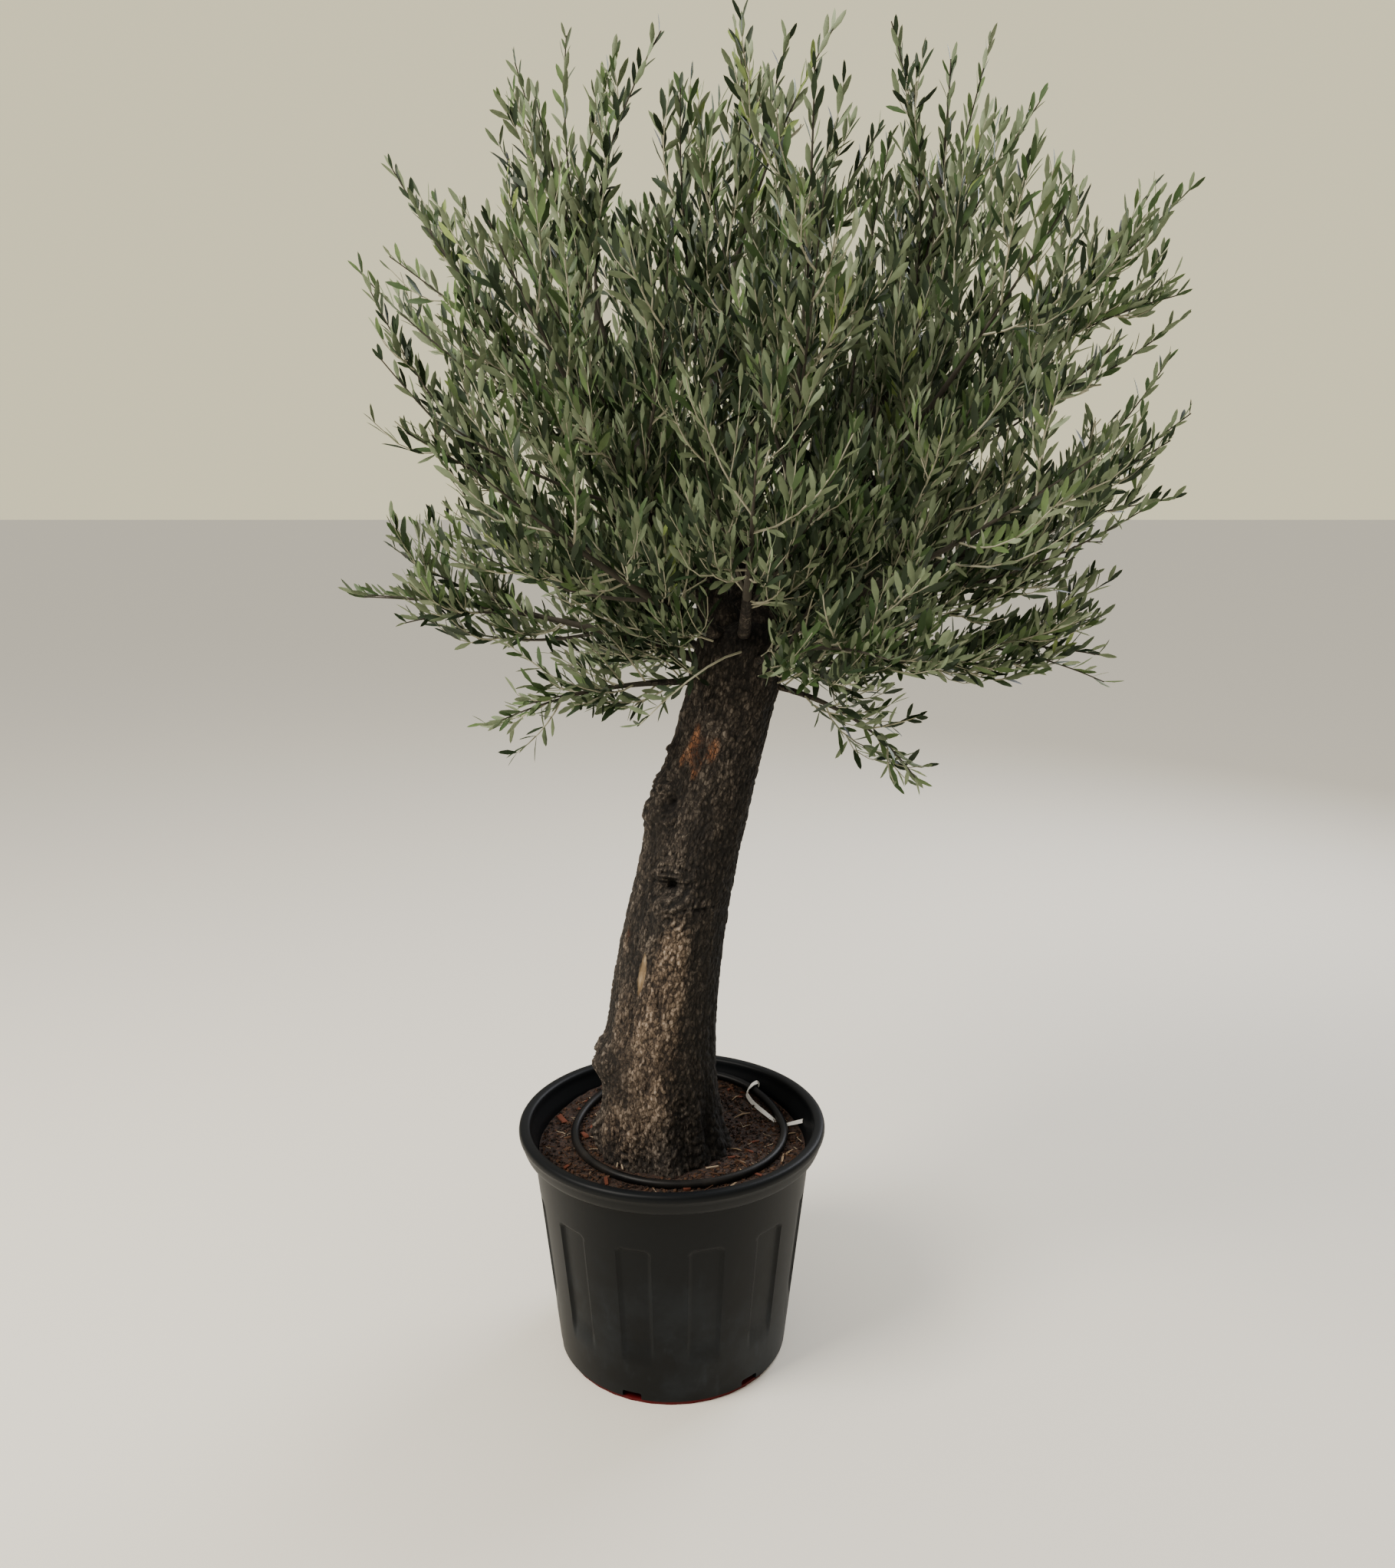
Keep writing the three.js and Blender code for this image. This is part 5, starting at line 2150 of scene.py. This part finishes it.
    def add_sticks(self, soup: Soup, rng: np.random.Generator) -> None:
        """Scatters thin sticks and lays the pale ones.

        Args:
            soup: where they are gathered.
            rng: the seeded generator.
        """
        for place in self.places(self.sticks, rng):
            line = np.linspace(-0.5, 0.5, 5)[:, None] * [[rng.uniform(0.008, 0.034), 0, 0]]
            line[:, 1] = rng.normal(0, 0.0008, 5)
            stick, faces = tube(line, np.full(5, rng.uniform(0.00035, 0.0009)), 4)
            rise = rng.normal(0, 0.12)
            slot = int(rng.choice((1, 2, 5), p=(0.5, 0.38, 0.12)))
            stick = laid(stick, rng.random() * ANY_TURN, rise)
            soup.add(stick + place + UP * 0.002, faces, slot)
        for x, y, long, spin in self.pale_sticks:
            line = np.linspace(0, long, 4)[:, None] * [[1, 0, 0]]
            stick, faces = tube(line, np.full(4, 0.0016), 6)
            soup.add(laid(stick, math.radians(spin), 0.1) + self.spot(x, y, 0.004), faces, 5)


def block(
    size: Array | tuple[float, ...], least: float, rng: np.random.Generator
) -> tuple[Array, Array]:
    """Makes a rough block.

    Args:
        size: half its size along each axis.
        least: the share of that size that each corner keeps at least.
        rng: the seeded generator.

    Returns:
        Its vertices and its triangles.
    """
    cube = np.array([(x, y, z) for x in (-1, 1) for y in (-1, 1) for z in (-1, 1)], float)
    quads = ((0, 1, 3, 2), (4, 6, 7, 5), (0, 4, 5, 1), (2, 3, 7, 6), (0, 2, 6, 4), (1, 5, 7, 3))
    faces = np.array([t for a, b, c, d in quads for t in ((a, b, c), (a, c, d))])
    return cube * np.array(size) * rng.uniform(least, 1.0, (8, 3)), faces


def laid(points: Array, spin: float, rise: float) -> Array:
    """Lays a small thing down, turned round +Z and tilted along its length.

    Args:
        points: its vertices, along +X.
        spin: the turn round +Z, in radians.
        rise: how steeply its length rises.

    Returns:
        The moved vertices.
    """
    forward, side = unit(np.array([1.0, 0.0, rise])), np.array([0.0, 1.0, 0.0])
    cos, sin = math.cos(spin), math.sin(spin)
    turn = np.array([[cos, -sin, 0], [sin, cos, 0], [0, 0, 1]])
    return points @ np.stack([forward, side, np.cross(forward, side)]) @ turn.T


@dataclass
class LabelStrap:
    """The white strap that loops over the drip ring and lies along the soil to the pot's wall."""

    soil: PottingSoil
    wide: float = 0.0085
    thick: float = 0.0010
    steps: int = 150
    eased: int = 37
    line: tuple[tuple[float, float, float, float], ...] = (
        (0.182, 0.199, 0.0035, 80),
        (0.178, 0.196, 0.0165, 35),
        (0.167, 0.187, 0.0195, 0),
        (0.156, 0.177, 0.0150, -45),
        (0.154, 0.172, 0.0070, -70),
        (0.163, 0.152, 0.0045, -55),
        (0.178, 0.128, 0.0045, -45),
        (0.197, 0.101, 0.0036, -20),
        (0.215, 0.083, -0.0032, 0),
        (0.230, 0.072, 0.0010, -25),
        (0.248, 0.060, 0.0090, -45),
        (0.2665, 0.048, 0.0180, -50),
    )

    @staticmethod
    def sampled(shares: Array, rows: Array) -> Array:
        """Reads evenly spread rows at shares of their whole, from 0 to 1."""
        known = np.linspace(0, 1, len(rows))
        return np.stack([np.interp(shares, known, column) for column in rows.T], -1)

    def build(self) -> Piece:
        """Bends a grid along the line and thickens it.

        Returns:
            The strap.
        """
        piece = add_grid("strap_ribbon", self.steps, 4)
        flat = read_places(piece)
        rows = np.array(self.line)
        rows[:, 2] += self.soil.height(rows[:, 0], rows[:, 1])
        smooth = self.sampled(np.linspace(0, 1, 400), rows)
        window = np.hanning(self.eased) / np.hanning(self.eased).sum()
        padded = np.pad(smooth, ((self.eased // 2,) * 2, (0, 0)), mode="edge")
        smooth = np.stack([np.convolve(column, window, "valid") for column in padded.T], -1)
        shares = (flat[:, 0] + 1) / 2
        along = self.sampled(shares, smooth)
        way = unit(self.sampled(shares, np.gradient(smooth[:, :3], axis=0)))
        level = unit(np.cross(way, UP))
        lean = np.radians(along[:, 3])[:, None]
        across = level * np.cos(lean) + np.cross(level, way) * np.sin(lean)
        write_places(piece, along[:, :3] + across * flat[:, 1:2] * self.wide / 2)
        apply_modifier(piece, "SOLIDIFY", thickness=self.thick, offset=0)
        finish = PlainFinish("strap_plastic", "efece6", 0.45, 90.0, 0.05)
        return finish_piece(piece, 40, finish, "strap", "label_strap")


@dataclass
class DripRing:
    """The irrigation pipe that lies round the trunk on the soil."""

    soil: PottingSoil
    across_x: float = 0.209
    across_y: float = 0.214
    tube: float = 0.0083
    x: float = 0.014
    y: float = 0.044
    sunk: float = 0.0015
    steps: int = 120
    sides: int = 20

    def point(self, turn: Array) -> Array:
        """Gives the ring's middle line.

        Args:
            turn: turns round from +X, in radians.

        Returns:
            The place at each.
        """
        wobble = 1 + 0.006 * np.cos(2 * turn + 0.7)
        x = self.x + self.across_x * wobble * np.cos(turn)
        y = self.y + self.across_y * wobble * np.sin(turn)
        return np.stack([x, y, self.soil.height(x, y) + self.tube - self.sunk], -1)

    def build(self) -> Piece:
        """Adds a torus and lays it on the soil.

        Returns:
            The ring.
        """
        deselect_all()
        bpy.ops.mesh.primitive_torus_add(
            major_segments=self.steps,
            minor_segments=self.sides,
            major_radius=self.across_x,
            minor_radius=self.tube,
        )
        piece = bpy.context.object
        piece.name = "drip_ring_pipe"
        flat = read_places(piece)
        turns = np.arctan2(flat[:, 1], flat[:, 0])
        out = np.hypot(flat[:, 0], flat[:, 1]) - self.across_x
        offset = np.stack([np.cos(turns) * out, np.sin(turns) * out, flat[:, 2]], -1)
        write_places(piece, self.point(turns) + offset)
        finish = MouldedPlastic("pipe_plastic", "0b0b0c", "4a443c", 0.16, 0.42)
        return finish_piece(piece, 60, finish, "pipe", "drip_ring")


# The set


@dataclass
class Studio:
    """The floor, the light and the camera at the photograph's viewing angle."""

    sensor: float = 36.0
    focal: float = 1700 / 2044
    down: float = 13.01
    floor_size: float = 120.0
    floor_colour: str = "f1ecdf"
    wall_colour: str = "e8dfba"
    glow: tuple[tuple[float, str], ...] = ((0.0, "7c776d"), (0.30, "a39e93"), (1.0, "e9e6df"))

    def add_camera(self) -> None:
        """Sets the camera at the eye."""
        data = bpy.data.cameras.new("view")
        data.lens = self.focal * self.sensor
        data.sensor_width = self.sensor
        camera = bpy.data.objects.new("view", data)
        camera.location = EYE
        camera.rotation_euler = (math.radians(90 - self.down), 0, 0)
        bpy.context.scene.collection.objects.link(camera)
        bpy.context.scene.camera = camera

    def add_light(
        self, name: str, place: tuple[float, ...], power: float, size: float, colour: str
    ) -> None:
        """Adds a soft light that faces the middle of the tree.

        Args:
            name: the light's name.
            place: where it stands.
            power: its power in watts.
            size: its side.
            colour: its colour code.
        """
        data = bpy.data.lights.new(name, "AREA")
        data.energy = power
        data.size = size
        data.color = rgb(colour)[:3]
        lamp = bpy.data.objects.new(name, data)
        lamp.location = place
        aim = Vector((0.1, 0, 1.2)) - Vector(place)
        lamp.rotation_euler = aim.to_track_quat("-Z", "Y").to_euler()
        bpy.context.scene.collection.objects.link(lamp)

    def build(self) -> None:
        """Lays the floor and lights the scene."""
        deselect_all()
        bpy.ops.mesh.primitive_plane_add(size=self.floor_size, location=(0, 0, 0))
        floor = bpy.context.object
        floor.name = "floor"
        paint = PlainFinish("floor_paint", self.floor_colour, 0.9, shade=0.0)
        floor.data.materials.append(paint.make())
        floor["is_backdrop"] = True
        world = bpy.data.worlds.new("studio")
        world.use_nodes = True
        tree = world.node_tree
        way = add_node(tree, "TexCoord", {}).outputs["Generated"]
        height = add_node(tree, "SeparateXYZ", {"Vector": way}).outputs["Z"]
        glance = add_node(tree, "LightPath", {}).outputs["Is Camera Ray"]
        seen = blend(tree, glance, ramp(tree, height, self.glow), self.wall_colour)
        feed(tree, tree.nodes["Background"], {"Color": seen, "Strength": 1.2})
        bpy.context.scene.world = world
        self.add_light("key", (-2.9, -1.9, 4.4), 320, 2.2, "fff8ee")
        self.add_light("rim", (2.9, 3.0, 3.6), 170, 2.6, "f4f6ff")


def dress_plate(nodes: dict[str, Piece]) -> None:
    """Gives the foot plate, the one solid that stays, its finish.

    Args:
        nodes: the frame's solids by name.
    """
    material = MouldedPlastic("plate_plastic", "540d10", "3c2f2a", 0.35, 0.55).make()
    for slot in nodes["foot_plate"].material_slots:
        slot.material = material


def main() -> None:
    """Builds the tree, its pot and the set in order."""
    logging.basicConfig(level=logging.INFO, format="%(message)s")
    noise.seed_set(NOISE_SEED)
    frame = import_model()
    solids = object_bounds()
    studio = Studio()
    studio.add_camera()
    trunk = Trunk()
    trunk.build()
    boughs = Boughs(trunk)
    boughs.build()
    Crown(boughs, np.array(solids[0]) - 0.004, np.array(solids[1]) + 0.004).build()
    pot = Pot()
    pot.build()
    soil = PottingSoil(pot)
    soil.build_bed()
    soil.build_litter()
    DripRing(soil).build()
    LabelStrap(soil).build()
    dress_plate(frame["nodes"])
    studio.build()


if __name__ == "__main__":
    main()
